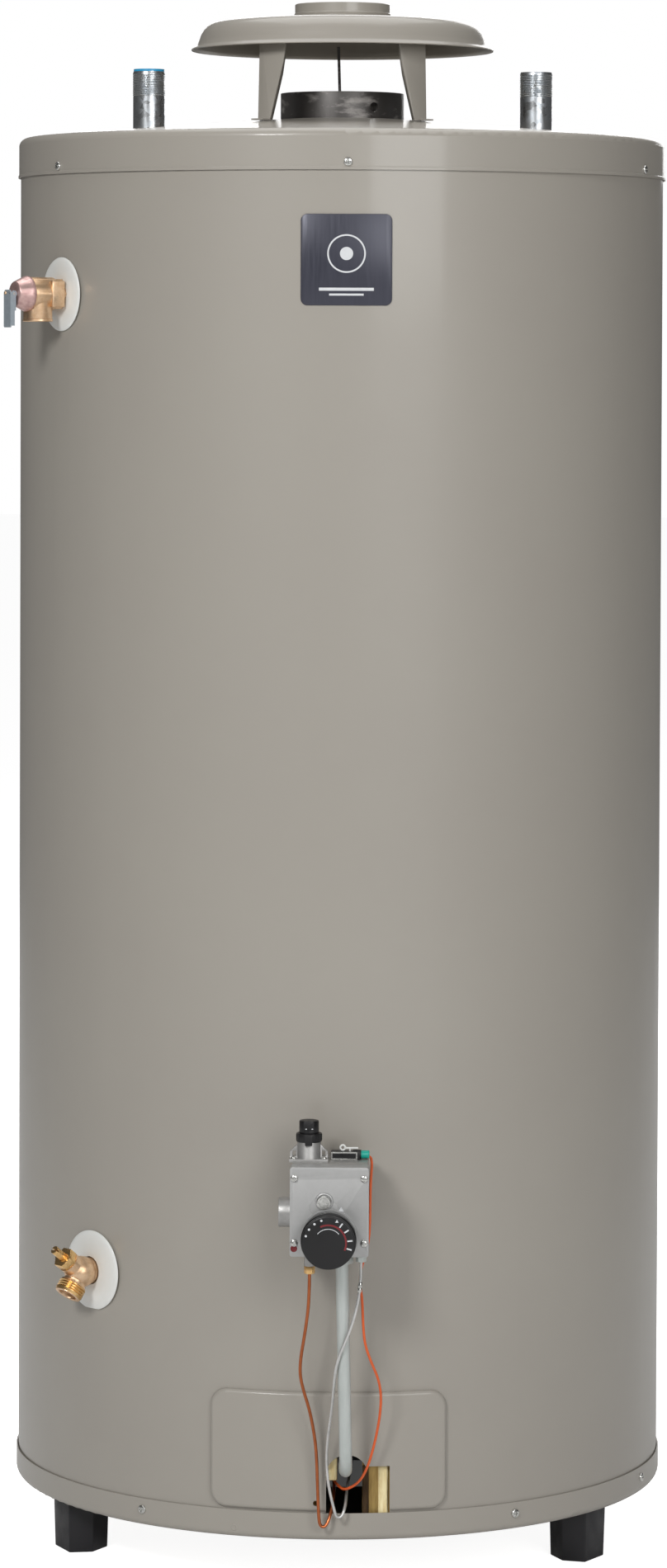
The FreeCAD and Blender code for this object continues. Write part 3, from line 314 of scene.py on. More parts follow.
# The finish of each frame node, by name.
NODE_FINISHES: tuple[tuple[Finish, str], ...] = (
    (BAKED_ENAMEL, "jacket top_cover base_pan draft_hood hood_legs"),
    (PLATED_SCREW, "casing_screws gas_valve_screws gas_valve_plug"),
    (BADGE_PLATE, "badge_plate"),
    (MOULDED_BLACK, "foot_left foot_right foot_rear"),
    (GLASS_LINING, "tank_shell tank_top_head tank_bottom_head"),
    (ROLLED_STEEL, "flue_tube flue_collar tank_spuds flue_baffle baffle_hanger burner"),
    (DIPPED_ZINC, "cold_nipple hot_nipple"),
    (MOULDED_BLUE, "cold_nipple_ring"),
    (MOULDED_WHITE, "dip_tube relief_escutcheon drain_escutcheon igniter_clip"),
    (MAGNESIUM, "anode_rod"),
    (RIGID_FOAM, "foam_insulation"),
    (GLASS_WOOL, "chamber_insulation"),
    (CAST_BRASS, "relief_body relief_stem relief_probe drain_body drain_bonnet drain_stem "
                 "dial_shaft tube_nuts"),
    (PLATED_COPPER, "relief_bonnet"),
    (DRAWN_STEEL, "relief_spring relief_lever_pin pilot_assembly thermocouple_lead"),
    (LEVER_STEEL, "relief_lever"),
    (SEAT_RUBBER, "drain_washer"),
    (DIE_CAST, "gas_valve_body knob_tower"),
    (SILVER_PAINT, "gas_valve_cover"),
    (DIAL_BLACK, "temperature_dial gas_knob reset_button igniter_housing"),
    (MOULDED_GREEN, "igniter_button"),
    (DRAWN_COPPER, "thermostat_probe pilot_tube"),
    (ALUMINISED, "manifold_tube"),
    (SLEEVE_ORANGE, "igniter_wire"),
)


def linked(obj: bpy.types.Object) -> bpy.types.Object:
    """Puts an object in the scene and gives it back."""
    bpy.context.scene.collection.objects.link(obj)
    return obj


def dress(obj: bpy.types.Object, finish: Finish) -> None:
    """Gives an object one finish all over."""
    obj.data.materials.clear()
    obj.data.materials.append(finish.material())


def radial(azimuth_deg: float, out_mm: float, height_mm: float) -> Matrix:
    """Gives a frame on a radius of the heater, in metres.

    Args:
        azimuth_deg: the turn from the front, towards the right.
        out_mm: the distance from the heater's axis.
        height_mm: the height above the floor.

    Returns:
        A matrix whose Z points outwards and whose Y points up.
    """
    angle = math.radians(azimuth_deg)
    outwards, upwards = Vector((math.sin(angle), -math.cos(angle), 0)), Vector((0, 0, 1))
    turn = Matrix((upwards.cross(outwards), upwards, outwards)).transposed().to_4x4()
    return Matrix.Translation((outwards * out_mm + upwards * height_mm) * MM) @ turn


def facing(x_mm: float, y_mm: float, z_mm: float) -> Matrix:
    """Gives a frame on the front of the gas control: Z points forwards and Y up.

    Args:
        x_mm: across.
        y_mm: from front to back.
        z_mm: up.

    Returns:
        A matrix, in metres.
    """
    turn = Matrix(((1, 0, 0), (0, 0, -1), (0, 1, 0))).to_4x4()
    return Matrix.Translation(Vector((x_mm, y_mm, z_mm)) * MM) @ turn


def standing(x_mm: float, y_mm: float, z_mm: float) -> Matrix:
    """Gives an upright frame at a point."""
    return Matrix.Translation(Vector((x_mm, y_mm, z_mm)) * MM)


def tilted(base: Matrix, way: Point, start_mm: float, out_mm: float) -> Matrix:
    """Gives a frame along a direction of another frame.

    Args:
        base: the frame to start from.
        way: the direction in that frame.
        start_mm: how far along the direction it starts.
        out_mm: where the direction leaves the base frame's Z axis.

    Returns:
        A matrix whose Z points along the direction.
    """
    turn = Vector(way).to_track_quat("Z", "Y").to_matrix().to_4x4()
    start = Vector((0, 0, out_mm)) + Vector(way) * start_mm
    return base @ Matrix.Translation(start * MM) @ turn


class Bench:
    """One piece on the bench, shaped by hand tools in millimetres and then settled in place."""

    def __init__(self, name: str, obj: bpy.types.Object) -> None:
        """Takes hold of an object and names it.

        Args:
            name: the piece's name.
            obj: the object to work on.
        """
        self.name = name
        self.obj = obj
        obj.name = name

    @staticmethod
    def clear() -> None:
        """Leaves edit mode and deselects everything."""
        if bpy.context.object and bpy.context.object.mode != "OBJECT":
            bpy.ops.object.mode_set(mode="OBJECT")
        bpy.ops.object.select_all(action="DESELECT")

    @classmethod
    def rod(cls, name: str, radius: float, low: float, high: float, sides: int = 48) -> "Bench":
        """Starts from a round bar between two heights.

        Args:
            name: the piece's name.
            radius: the bar's radius.
            low: where it starts.
            high: where it ends.
            sides: how many sides it has.

        Returns:
            The bar.
        """
        cls.clear()
        bpy.ops.mesh.primitive_cylinder_add(vertices=sides, radius=radius, depth=high - low,
                                            location=(0, 0, (low + high) / 2))
        return cls(name, bpy.context.object).applied()

    @classmethod
    def block(cls, name: str, low: Point, high: Point) -> "Bench":
        """Starts from a block between two corners.

        Args:
            name: the piece's name.
            low: the lowest corner.
            high: the highest corner.

        Returns:
            The block.
        """
        cls.clear()
        middle = [(a + b) / 2 for a, b in zip(low, high)]
        bpy.ops.mesh.primitive_cube_add(size=1, location=middle)
        bpy.context.object.scale = [b - a for a, b in zip(low, high)]
        return cls(name, bpy.context.object).applied()

    @classmethod
    def turned(cls, name: str, outline: Sequence[tuple[float, float]], sides: int = 64,
               tube: bool = False) -> "Bench":
        """Extrudes a ring step by step along an outline.

        Args:
            name: the piece's name.
            outline: (radius, height) points.
            sides: how many sides the ring has.
            tube: whether the last ring joins the first, and not flat ends.

        Returns:
            The turned piece.
        """
        cls.clear()
        radius, height = outline[0]
        bpy.ops.mesh.primitive_circle_add(vertices=sides, radius=radius, location=(0, 0, height))
        made = cls(name, bpy.context.object).applied()
        bpy.ops.object.mode_set(mode="EDIT")
        bpy.ops.mesh.select_mode(type="EDGE")
        bpy.ops.mesh.select_all(action="SELECT")
        for wide, high in outline[1:]:
            bpy.ops.mesh.extrude_region_move(
                TRANSFORM_OT_translate={"value": (0, 0, high - height)})
            grow = wide / radius
            bpy.ops.transform.resize(value=(grow, grow, 1), center_override=(0, 0, high))
            radius, height = wide, high
        bpy.ops.mesh.select_all(action="DESELECT")
        bpy.ops.mesh.select_non_manifold()
        if tube:
            bpy.ops.mesh.bridge_edge_loops()
        else:
            bpy.ops.mesh.fill_holes(sides=0)
        return made.outwards()

    @classmethod
    def of_node(cls, name: str, node: str, base: Matrix = Matrix()) -> "Bench":
        """Starts from a merged copy of a frame node, in a local frame.

        Args:
            name: the piece's name.
            node: the frame node to copy.
            base: the local frame.

        Returns:
            The merged copy.
        """
        cls.clear()
        obj = linked(bpy.data.objects.new(name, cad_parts[node].data.copy()))
        obj.data.transform(Matrix.Scale(1 / MM, 4) @ base.inverted())
        made = cls(name, obj).opened()
        bpy.ops.mesh.remove_doubles(threshold=0.004)
        bpy.ops.mesh.dissolve_limited(angle_limit=math.radians(0.4))
        bpy.ops.object.mode_set(mode="OBJECT")
        return made

    def focus(self) -> None:
        """Selects only this piece."""
        self.clear()
        self.obj.select_set(True)
        bpy.context.view_layer.objects.active = self.obj

    def opened(self) -> "Bench":
        """Opens edit mode with everything selected.

        Returns:
            This piece, in edit mode.
        """
        self.focus()
        bpy.ops.object.mode_set(mode="EDIT")
        bpy.ops.mesh.select_all(action="SELECT")
        return self

    def applied(self) -> "Bench":
        """Puts the object's place, turn and scale into its mesh.

        Returns:
            This piece, at the origin.
        """
        self.focus()
        bpy.ops.object.transform_apply(location=True, rotation=True, scale=True)
        return self

    def outwards(self) -> "Bench":
        """Merges doubles and turns all faces outwards.

        Returns:
            This piece.
        """
        self.opened()
        bpy.ops.mesh.remove_doubles(threshold=0.002)
        bpy.ops.mesh.normals_make_consistent(inside=False)
        bpy.ops.object.mode_set(mode="OBJECT")
        return self

    def pick(self, test: Callable[[Vector, Vector], bool], kind: str = "FACE") -> "Bench":
        """Opens edit mode with only some faces or edges selected.

        Args:
            test: takes a middle and a normal, or an edge's direction, and says yes or no.
            kind: FACE or EDGE.

        Returns:
            This piece, in edit mode.
        """
        self.focus()
        bpy.ops.object.mode_set(mode="EDIT")
        bpy.ops.mesh.select_mode(type=kind)
        bpy.ops.mesh.select_all(action="DESELECT")
        bpy.ops.object.mode_set(mode="OBJECT")
        mesh = self.obj.data
        if kind == "FACE":
            for face in mesh.polygons:
                face.select = test(face.center, face.normal)
        else:
            for edge in mesh.edges:
                start, end = (mesh.vertices[corner].co for corner in edge.vertices)
                edge.select = test((start + end) / 2, (end - start).normalized())
        bpy.ops.object.mode_set(mode="EDIT")
        return self

    def use(self, kind: str, **settings: Any) -> "Bench":
        """Adds a modifier with its settings and applies it.

        Args:
            kind: the modifier's type.
            settings: its values by name.

        Returns:
            This piece.
        """
        self.focus()
        tool = self.obj.modifiers.new(kind.lower(), kind)
        for key, value in settings.items():
            setattr(tool, key, value)
        bpy.ops.object.modifier_apply(modifier=tool.name)
        return self

    def eased(self, width: float, segments: int = 2, angle_deg: float = 28.0) -> "Bench":
        """Rounds the sharp edges all over."""
        return self.use("BEVEL", width=width, segments=segments, limit_method="ANGLE",
                        angle_limit=math.radians(angle_deg), miter_outer="MITER_ARC")

    def less(self, tool: "Bench") -> "Bench":
        """Cuts another piece away.

        Args:
            tool: the piece to cut with, which is used up.

        Returns:
            This piece.
        """
        self.use("BOOLEAN", operation="DIFFERENCE", solver="EXACT", object=tool.obj)
        bpy.data.objects.remove(tool.obj)
        return self

    def plus(self, other: "Bench") -> "Bench":
        """Welds another piece on.

        Args:
            other: the piece to weld on, which is used up.

        Returns:
            This piece.
        """
        self.use("BOOLEAN", operation="UNION", solver="EXACT", object=other.obj)
        bpy.data.objects.remove(other.obj)
        return self

    def copied(self, name: str) -> "Bench":
        """Gives a copy with its own mesh.

        Args:
            name: the copy's name.

        Returns:
            The copy.
        """
        obj = self.obj.copy()
        obj.data = self.obj.data.copy()
        return Bench(name, linked(obj))

    def swung(self, axis: int, turn_deg: float) -> "Bench":
        """Turns the piece about the X, Y or Z axis: 0, 1 or 2."""
        self.obj.rotation_euler[axis] = math.radians(turn_deg)
        return self.applied()

    def moved(self, x: float, y: float, z: float) -> "Bench":
        """Moves the piece on the bench."""
        self.obj.location = (x, y, z)
        return self.applied()

    def settle(self, finish: Finish, place: Matrix = Matrix(), body: str = BODY,
               node: str = "", slot: str = "", smooth_deg: float = 35.0) -> bpy.types.Object:
        """Puts the finished piece in its place on the heater.

        Args:
            finish: what it is made of.
            place: its frame on the heater, in metres.
            body: the body that it rides on.
            node: the frame node that it stands for, if any.
            slot: the record's material slot, where it is not the finish's own; not used.
            smooth_deg: the largest angle that is shaded smooth.

        Returns:
            The finished object.
        """
        self.clear()
        self.obj.data.transform(place @ Matrix.Scale(MM, 4))
        self.focus()
        bpy.ops.object.shade_smooth_by_angle(angle=math.radians(smooth_deg))
        dress(self.obj, finish)
        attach(self.obj, body)
        if node:
            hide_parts(node)
        LOG.info("%s: %d faces", self.name, len(self.obj.data.polygons))
        return self.obj


def thread_outline(root: float, crest: float, low: float, high: float,
                   pitch: float, bore: float) -> list[tuple[float, float]]:
    """Gives the outline of a threaded sleeve, root to crest at every turn.

    Args:
        root: the radius between the turns.
        crest: the radius on the turns.
        low: where the thread starts.
        high: where it ends.
        pitch: the height of one turn.
        bore: the inner radius.

    Returns:
        Points of radius and height.
    """
    points = [(bore, low)]
    for turn in range(int((high - low) / pitch)):
        foot = low + turn * pitch
        points += [(root, foot), (crest, foot + 0.42 * pitch), (crest, foot + 0.58 * pitch)]
    return points + [(root, high), (bore, high)]


@dataclass
class Casing:
    """The jacket's fittings: badge, screws, feet and the pressed dimple."""

    badge_azimuth: float = 2.4
    badge_height: float = 1325.0
    badge_face: float = 337.75
    cover_rad: float = 338.3
    cover_screw_height: float = 1421.4
    pan_rad: float = 338.5
    pan_screw_height: float = 73.5
    cover_screws: Sequence[float] = (-56.7, 2.6, 67.9, 128.0, 187.0, 243.0)
    pan_screws: Sequence[float] = (-33.6, 33.3, 69.5, 127.0, 180.0, 232.0)

    def build(self) -> None:
        """Makes every piece of the casing that is not left to the frame."""
        self.badge()
        self.screws()
        for node in ("foot_left", "foot_right", "foot_rear"):
            Bench.of_node(node + "_moulded", node).eased(1.2, 3).settle(MOULDED_BLACK, node=node)
        self.dimple()

    def badge(self) -> None:
        """Makes the badge plate with a plain ring, a boss and two bars."""
        place = radial(self.badge_azimuth, self.badge_face, self.badge_height)
        plate = Bench.of_node("badge_face", "badge_plate").eased(0.4, 2)
        plate.settle(BADGE_PLATE, node="badge_plate")
        ring = Bench.turned("badge_ring", [(17.4, 0), (19, 0), (19, 0.3), (17.4, 0.3)], 72, True)
        boss = Bench.rod("badge_boss", 6.5, 0, 0.3, 48)
        upper = Bench.block("badge_bar", (-27, -30.6, 0), (27, -27.6, 0.3))
        lower = Bench.block("badge_bar_short", (-17, -35.4, 0), (17, -33.4, 0.3))
        for piece, lift in ((ring, 6), (boss, 6), (upper, 0), (lower, 0)):
            self.wrapped(piece.moved(0, lift, 0), place)

    def wrapped(self, piece: Bench, place: Matrix) -> None:
        """Curves a flat ornament round the plate.

        Args:
            piece: the ornament, flat in X and Y.
            place: the plate's frame.
        """
        piece.use("TRIANGULATE").opened()
        bpy.ops.mesh.subdivide(number_cuts=3)
        bpy.ops.object.mode_set(mode="OBJECT")
        for vertex in piece.obj.data.vertices:
            vertex.co.z -= vertex.co.x ** 2 / (2 * self.badge_face)
        piece.settle(PALE_INK, place, slot="zinc_screw")

    def screws(self) -> None:
        """Makes one cross-recess screw and sets a copy at each casing hole."""
        master = Screw(4.4, 2.2).model()
        places = [radial(turn, self.cover_rad, self.cover_screw_height)
                  for turn in self.cover_screws]
        places += [radial(turn, self.pan_rad, self.pan_screw_height) for turn in self.pan_screws]
        for number, place in enumerate(places, start=1):
            screw = master.copied(f"casing_screw_{number:02d}")
            screw.settle(PLATED_SCREW, place)
        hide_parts("casing_screws")
        bpy.data.objects.remove(master.obj)

    def dimple(self) -> None:
        """Makes the small pressed dimple in the base pan."""
        dish = Bench.turned("pan_dimple", [(0.4, 0.06), (1.8, 0.1), (2.6, 0.35), (3.4, 0.05),
                                           (3.4, -0.4), (0.4, -0.4)], 32)
        dish.settle(BAKED_ENAMEL, radial(-16, self.pan_rad, 66.5))


@dataclass
class Screw:
    """A pan-head screw with a cross recess."""

    radius: float
    height: float

    def model(self) -> Bench:
        """Makes the head, domed and recessed, standing on its seat.

        Returns:
            The head, on the bench.
        """
        rad, high = self.radius, self.height
        head = Bench.turned("screw", [(rad, 0), (rad, 0.45 * high), (0.9 * rad, 0.8 * high),
                                      (0.55 * rad, high), (0.2 * rad, 1.04 * high)], 32)
        for turn in (0, 1):
            size = (0.62 * rad, 0.13 * rad) if turn else (0.13 * rad, 0.62 * rad)
            head.less(Bench.block("recess", (-size[0], -size[1], 0.35 * high),
                                  (size[0], size[1], 2 * high)))
        return head.eased(0.08 * rad, 1, 40)


@dataclass
class Crown:
    """The draft hood, the flue collar and the two pipe nipples."""

    nipple_span: float = 203.2
    nipple_top: float = 1527.0

    def build(self) -> None:
        """Makes every piece of the top."""
        self.dome()
        struts = Bench.of_node("hood_struts", "hood_legs").eased(0.35, 2)
        struts.settle(BAKED_ENAMEL, node="hood_legs")
        sleeve = Bench.of_node("flue_sleeve", "flue_collar").eased(0.7, 3)
        sleeve.settle(ROLLED_STEEL, node="flue_collar")
        for side, name in ((-1, "cold"), (1, "hot")):
            self.nipple_thread(name, side)

    def dome(self) -> None:
        """Spins the hood from its vent collar to its rolled lip and back inside."""
        outer = [(49.4, 1597.5), (50, 1597.0), (50, 1588.4), (50.6, 1587.6), (50.6, 1586.2),
                 (50.1, 1585.4), (50.4, 1584.2), (51.2, 1583.3), (52.6, 1582.9), (80, 1581.5),
                 (105, 1580.2), (129.3, 1578.7), (134.4, 1577.7), (138.9, 1575.9),
                 (142.7, 1573.1), (145.9, 1569.4), (148.4, 1565.0), (150.6, 1558.9),
                 (152.4, 1553.6), (153.6, 1552.2), (158.1, 1550.2), (158.6, 1549.4),
                 (158.2, 1548.6), (157.4, 1548.6)]
        inner = [(152.6, 1550.7), (151.4, 1552.2), (149.4, 1558.4), (147.3, 1564.4),
                 (144.9, 1568.6), (141.9, 1572.1), (138.4, 1574.6), (134.1, 1576.4),
                 (129, 1577.5), (90, 1579.7), (52, 1581.8), (49, 1582.2), (49, 1597.1)]
        dome = Bench.turned("hood_dome", outer + inner, 160, tube=True)
        dome.settle(BAKED_ENAMEL, node="draft_hood")

    def nipple_thread(self, name: str, side: int) -> None:
        """Cuts the tapered pipe thread on top of one nipple.

        Args:
            name: cold or hot.
            side: -1 for left, 1 for right.
        """
        points = thread_outline(16.42, 17.1, 1501.5, self.nipple_top - 0.4, 1.81, 15.8)
        thread = Bench.turned(name + "_pipe_thread", points, 64, tube=True)
        thread.moved(side * self.nipple_span, 0, 0).settle(DIPPED_ZINC, smooth_deg=THREAD_DEG)


@dataclass
class ReliefValve:
    """The relief valve on the left shoulder."""

    azimuth: float = -55.7
    height: float = 1291.4
    coil_seat: float = 53.0
    coil_kept: float = 0.915
    pin_out: float = 59.5

    def build(self) -> None:
        """Makes every visible piece of the valve."""
        base = radial(self.azimuth, JACKET_RAD, self.height)
        rose = Bench.turned("relief_rose", [
            (14.2, 0.5), (36.8, 0.5), (37.4, 0.9), (37.4, 1.5), (36.9, 2.1), (35.4, 2.7),
            (33, 3.3), (29, 3.9), (22, 4.4), (15, 4.8), (14.2, 4.6)], 96, tube=True)
        rose.settle(MOULDED_WHITE, base, node="relief_escutcheon")
        casting = Bench.of_node("relief_casting", "relief_body", base).eased(0.5, 2)
        casting.settle(CAST_BRASS, base, node="relief_body")
        pad = Bench.block("relief_pad", (6, -13.4, 7), (17.9, 13.4, 21.4)).eased(1.1, 3)
        pad.settle(CAST_BRASS, base)
        lip = Bench.turned("relief_outlet_lip", [(12.6, 0), (14.8, 0), (15.3, 0.5), (15.3, 2.2),
                                                 (14.7, 2.8), (12.6, 2.8)], 56, tube=True)
        lip.settle(CAST_BRASS, tilted(base, (0, -1, 0), 25.2, 28.5))
        cap = Bench.of_node("relief_cap", "relief_bonnet", base).eased(0.4, 2)
        cap.settle(PLATED_COPPER, base, node="relief_bonnet")
        coil = Bench.of_node("relief_coil", "relief_spring", base).settle(
            DRAWN_STEEL, base, node="relief_spring")
        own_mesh(coil)
        self.lever(base)

    def lever(self, base: Matrix) -> None:
        """Folds the test lever with its round top, its hole and its rivet.

        Args:
            base: the valve's frame.
        """
        blade = Bench.block("lever_blade", (-7, -34, 62.7), (7, 4, 63.9))
        blade.pick(lambda middle, way: abs(way.z) > 0.9 and middle.y > 3, "EDGE")
        bpy.ops.mesh.bevel(offset=4.2, segments=6)
        blade.pick(lambda middle, way: abs(way.z) > 0.9 and middle.y < -33, "EDGE")
        bpy.ops.mesh.bevel(offset=1.6, segments=3)
        for low in (-7.0, 5.8):
            blade.plus(Bench.block("ear", (low, -17, 57.5), (low + 1.2, 1.9, 62.9)))
            blade.plus(Bench.block("flange", (low, -32.2, 58.9), (low + 1.2, -16, 62.9)))
            eye = Bench.rod("eye", 3.2, 0, 1.2, 32).swung(1, 90)
            blade.plus(eye.moved(low, 0, self.pin_out))
        blade.less(Bench.rod("hole", 1.2, 60, 66, 20).moved(4, 0.4, 0))
        bore = Bench.rod("bore", 1.55, -10, 10, 24).swung(1, 90)
        blade.less(bore.moved(0, 0, self.pin_out)).eased(0.25, 2, 40)
        blade.settle(LEVER_STEEL, base, "relief_lever", "relief_lever")
        rivet = Bench.turned("lever_rivet", [(1.7, 63.8), (1.7, 64.5), (1.3, 65.2), (0.5, 65.5)],
                             24).moved(-3, 0.8, 0)
        rivet.settle(CAST_BRASS, base, "relief_lever")


@dataclass
class DrainValve:
    """The drain valve low on the left."""

    azimuth: float = -45.7
    height: float = 305.5
    ball_out: float = 17.0
    tilt_deg: float = 38.0

    def build(self) -> None:
        """Makes every visible piece of the valve."""
        base = radial(self.azimuth, JACKET_RAD, self.height)
        lean = math.radians(self.tilt_deg)
        hose_way = (0.0, -math.cos(lean), math.sin(lean))
        rose = Bench.turned("drain_rose", [
            (14.2, 0.5), (39.4, 0.5), (40, 0.9), (40, 1.6), (39.4, 2.2), (37, 3), (33, 3.9),
            (24, 4.6), (15, 5), (14.2, 4.8)], 96, tube=True)
        rose.less(Bench.block("flat", (-40, -50, -1), (40, -38.6, 9)))
        rose.settle(MOULDED_WHITE, base, node="drain_escutcheon")
        casting = Bench.of_node("drain_casting", "drain_body", base).eased(0.5, 2)
        casting.settle(CAST_BRASS, base, node="drain_body")
        points = thread_outline(13.42, 14.5, 0, 11.4, 2.5, 12.4)
        Bench.turned("hose_thread", points, 64, tube=True).settle(
            TURNED_BRASS, tilted(base, hose_way, 15.2, self.ball_out), smooth_deg=THREAD_DEG)
        nut = Bench.of_node("drain_gland", "drain_bonnet", base).eased(0.7, 2)
        nut.settle(TURNED_BRASS, base, node="drain_bonnet")
        stem = Bench.of_node("drain_spindle", "drain_stem", base).eased(0.5, 3)
        stem.settle(TURNED_BRASS, base, "drain_stem", "drain_stem")


@dataclass
class GasControl:
    """The gas control on the front: body, cover, dial, knob, igniter and nuts."""

    across: float = 3.3
    front: float = 431.0
    dial_height: float = 375.4
    dial_back: float = 444.0
    print_low: float = 15.9
    print_high: float = 16.15
    knob_across: float = -17.8
    knob_setback: float = 390.0
    top: float = 443.7
    igniter_front: float = 386.0

    def build(self) -> None:
        """Makes every visible piece of the control."""
        for name, node, finish, ease in (
                ("gas_valve_casting", "gas_valve_body", DIE_CAST, 0.9),
                ("gas_valve_lid", "gas_valve_cover", SILVER_PAINT, 0.9),
                ("knob_pillar", "knob_tower", DIE_CAST, 0.6),
                ("igniter_case", "igniter_housing", DIAL_BLACK, 0.4),
                ("igniter_hook", "igniter_clip", MOULDED_WHITE, 0.2)):
            Bench.of_node(name, node).eased(ease, 2).settle(finish, node=node)
        nuts = Bench.of_node("line_nuts", "tube_nuts").eased(0.4, 2).settle(
            TURNED_BRASS, node="tube_nuts")
        nuts.data.materials.append(ALUMINISED.material())
        for face in nuts.data.polygons:
            face.material_index = int(face.center.x > 0)
        self.lid_details()
        self.screws()
        self.dial()
        self.knob()
        self.igniter()
        self.lead_fittings()

    def lid_details(self) -> None:
        """Makes the cast boss with its plug, the pointer and the red well on the lid."""
        face = facing(0, -self.front, 0)
        boss = Bench.turned("lid_boss", [(9.2, -0.6), (9.0, 0.5), (8.4, 1.4), (7.5, 1.7),
                                         (7.0, 1.3), (7.0, -0.6)], 48, True)
        boss.moved(-1.6, 410.4, 0).settle(SILVER_PAINT, face)
        for number, (x, z, rad) in enumerate(((-8.6, 404.4, 7.6), (5.4, 404.0, 7.0)), start=1):
            lobe = Bench.turned(f"lid_lobe_{number}", [(rad, -0.4), (0.9 * rad, 0.35),
                                                       (0.6 * rad, 0.7), (0.2 * rad, 0.8)], 40)
            lobe.moved(x, z, 0).settle(SILVER_PAINT, face)
        plug = Bench.turned("valve_plug_disc", [(6.8, 0), (6.8, 2.0), (6.3, 2.5), (4.6, 2.5),
                                                (4.2, 2.2), (0.5, 2.2)], 48)
        plug.moved(-2, 409.6, 0).settle(PLATED_SCREW, face, node="gas_valve_plug")
        mark = Bench.rod("lid_pointer", 3.1, -0.2, 0.6, 3).eased(0.2, 1)
        mark.moved(14.9, 402.6, 0).settle(PALE_INK, face)
        well = Bench.turned("lid_well", [(0.4, 0.08), (2.2, 0.1), (2.9, 0.45), (3.3, 0.05),
                                         (3.3, -0.5), (0.4, -0.5)], 32)
        well.moved(-30.9, 364.4, 0).settle(RED_SEAL, face)

    def screws(self) -> None:
        """Sets the four lid screws and the two pillar screws."""
        lid, pillar = Screw(3.5, 2.2).model(), Screw(2.6, 1.9).model()
        corners = [(self.across + side * 34, z) for side in (-1, 1) for z in (370, 433)]
        for number, (x, z) in enumerate(corners, start=1):
            lid.copied(f"lid_screw_{number}").settle(
                PLATED_SCREW, facing(x, -self.front, z))
        for number, side in enumerate((-1, 1), start=1):
            spot = standing(self.knob_across + side * 15, -self.knob_setback - 7.5, self.top + 3)
            pillar.copied(f"pillar_screw_{number}").settle(PLATED_SCREW, spot)
        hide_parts("gas_valve_screws")
        for master in (lid, pillar):
            bpy.data.objects.remove(master.obj)

    def dial(self) -> None:
        """Makes the dial with its rim, its dots, its pointer, its red band and its arc."""
        face = facing(self.across, -self.dial_back, self.dial_height)
        body = Bench.turned("dial_disc", [(0.6, 0), (26.4, 0), (27, 0.5), (27, 6.8), (26.6, 7.6),
                                          (25.9, 8.2), (25.9, 15.2), (25.3, 15.8), (24.4, 16),
                                          (0.6, 16)], 96)
        body.settle(DIAL_BLACK, face, "dial", "temperature_dial")
        shade = Bench.turned("dial_ring", [(26.2, -13), (27.9, -13), (28.1, -12), (27.9, -11.4),
                                           (26.2, -11.4)], 96, True)
        shade.settle(SILVER_PAINT, face)
        for number, turn in enumerate((107, 126, 145, 163), start=1):
            spot = Bench.rod(f"dial_dot_{number}", 1.15, self.print_low, self.print_high, 20)
            angle = math.radians(turn)
            spot.moved(22.6 * math.cos(angle), 22.6 * math.sin(angle), 0)
            spot.settle(PALE_INK, face, "dial")
        wedge = Bench.rod("dial_wedge", 1.9, self.print_low, self.print_high, 3)
        wedge.moved(8.4, 20.9, 0).settle(PALE_INK, face, "dial")
        for number, turn in enumerate((54, 33, 6, -16), start=1):
            tick = Bench.block(f"dial_tick_{number}", (18.6, -0.7, self.print_low),
                               (23.6, 0.7, self.print_high))
            tick.swung(2, turn).settle(PALE_INK, face, "dial")
        band = self.arc("dial_band", 16.4, 18.2, -24, 116, 16.1)
        band.settle(RED_SEAL, face, "dial", slot="white_plastic")
        line = self.arc("dial_arc", 13.2, 13.8, 40, 140, 16.1)
        line.settle(PALE_INK, face, "dial")

    def arc(self, name: str, inner: float, outer: float, low: float, high: float,
            top: float) -> Bench:
        """Spins a flat bar through part of a turn.

        Args:
            name: the piece's name.
            inner: the inner radius.
            outer: the outer radius.
            low: where it starts, in degrees.
            high: where it ends, in degrees.
            top: the height of its face.

        Returns:
            The arc.
        """
        made = Bench.block(name, (inner, -0.01, top - 0.25), (outer, 0.01, top))
        made.pick(lambda middle, normal: normal.y > 0.9)
        bpy.ops.mesh.spin(steps=36, angle=math.radians(high - low), center=(0, 0, 0),
                          axis=(0, 0, 1))
        made.outwards()
        if max(vertex.co.y for vertex in made.obj.data.vertices) < 1:
            made.obj.scale = (1, -1, 1)
            made.applied().outwards()
        return made.swung(2, low)

    def knob(self) -> None:
        """Makes the gas knob with its grip ribs, its pointer and the reset button."""
        place = standing(self.knob_across, -self.knob_setback, 0)
        knob = Bench.of_node("knob_shell", "gas_knob", place).eased(0.5, 2)
        knob.settle(DIAL_BLACK, place, "gas_knob", "gas_knob")
        rib = Bench.block("rib", (11.9, -0.7, 464), (12.8, 0.7, 470.4)).eased(0.3, 1)
        ribs = rib.copied("knob_ribs")
        for turn in [*range(24, 240, 24), *range(312, 349, 12)]:
            ribs.plus(rib.copied("more").swung(2, turn))
        bpy.data.objects.remove(rib.obj)
        ribs.settle(DIAL_BLACK, place, "gas_knob")
        button = Bench.turned("reset_cap", [(0.5, 470.2), (9.6, 470.2), (9.6, 482.4),
                                            (9.1, 483.2), (8.2, 483.5), (0.5, 483.5)], 56)
        flat = Bench.block("flat", (-12, -12, 474), (12, -8.2, 490))
        button.less(flat).eased(0.3, 2, 40)
        button.settle(DIAL_BLACK, place, "reset_button", "reset_button")
        for number, x in enumerate((-3.4, 2.6), start=1):
            tick = Bench.block(f"knob_mark_{number}", (x, -8.4, 475.4), (x + 1.6, -8.1, 476.2))
            tick.settle(PALE_INK, place, "reset_button")

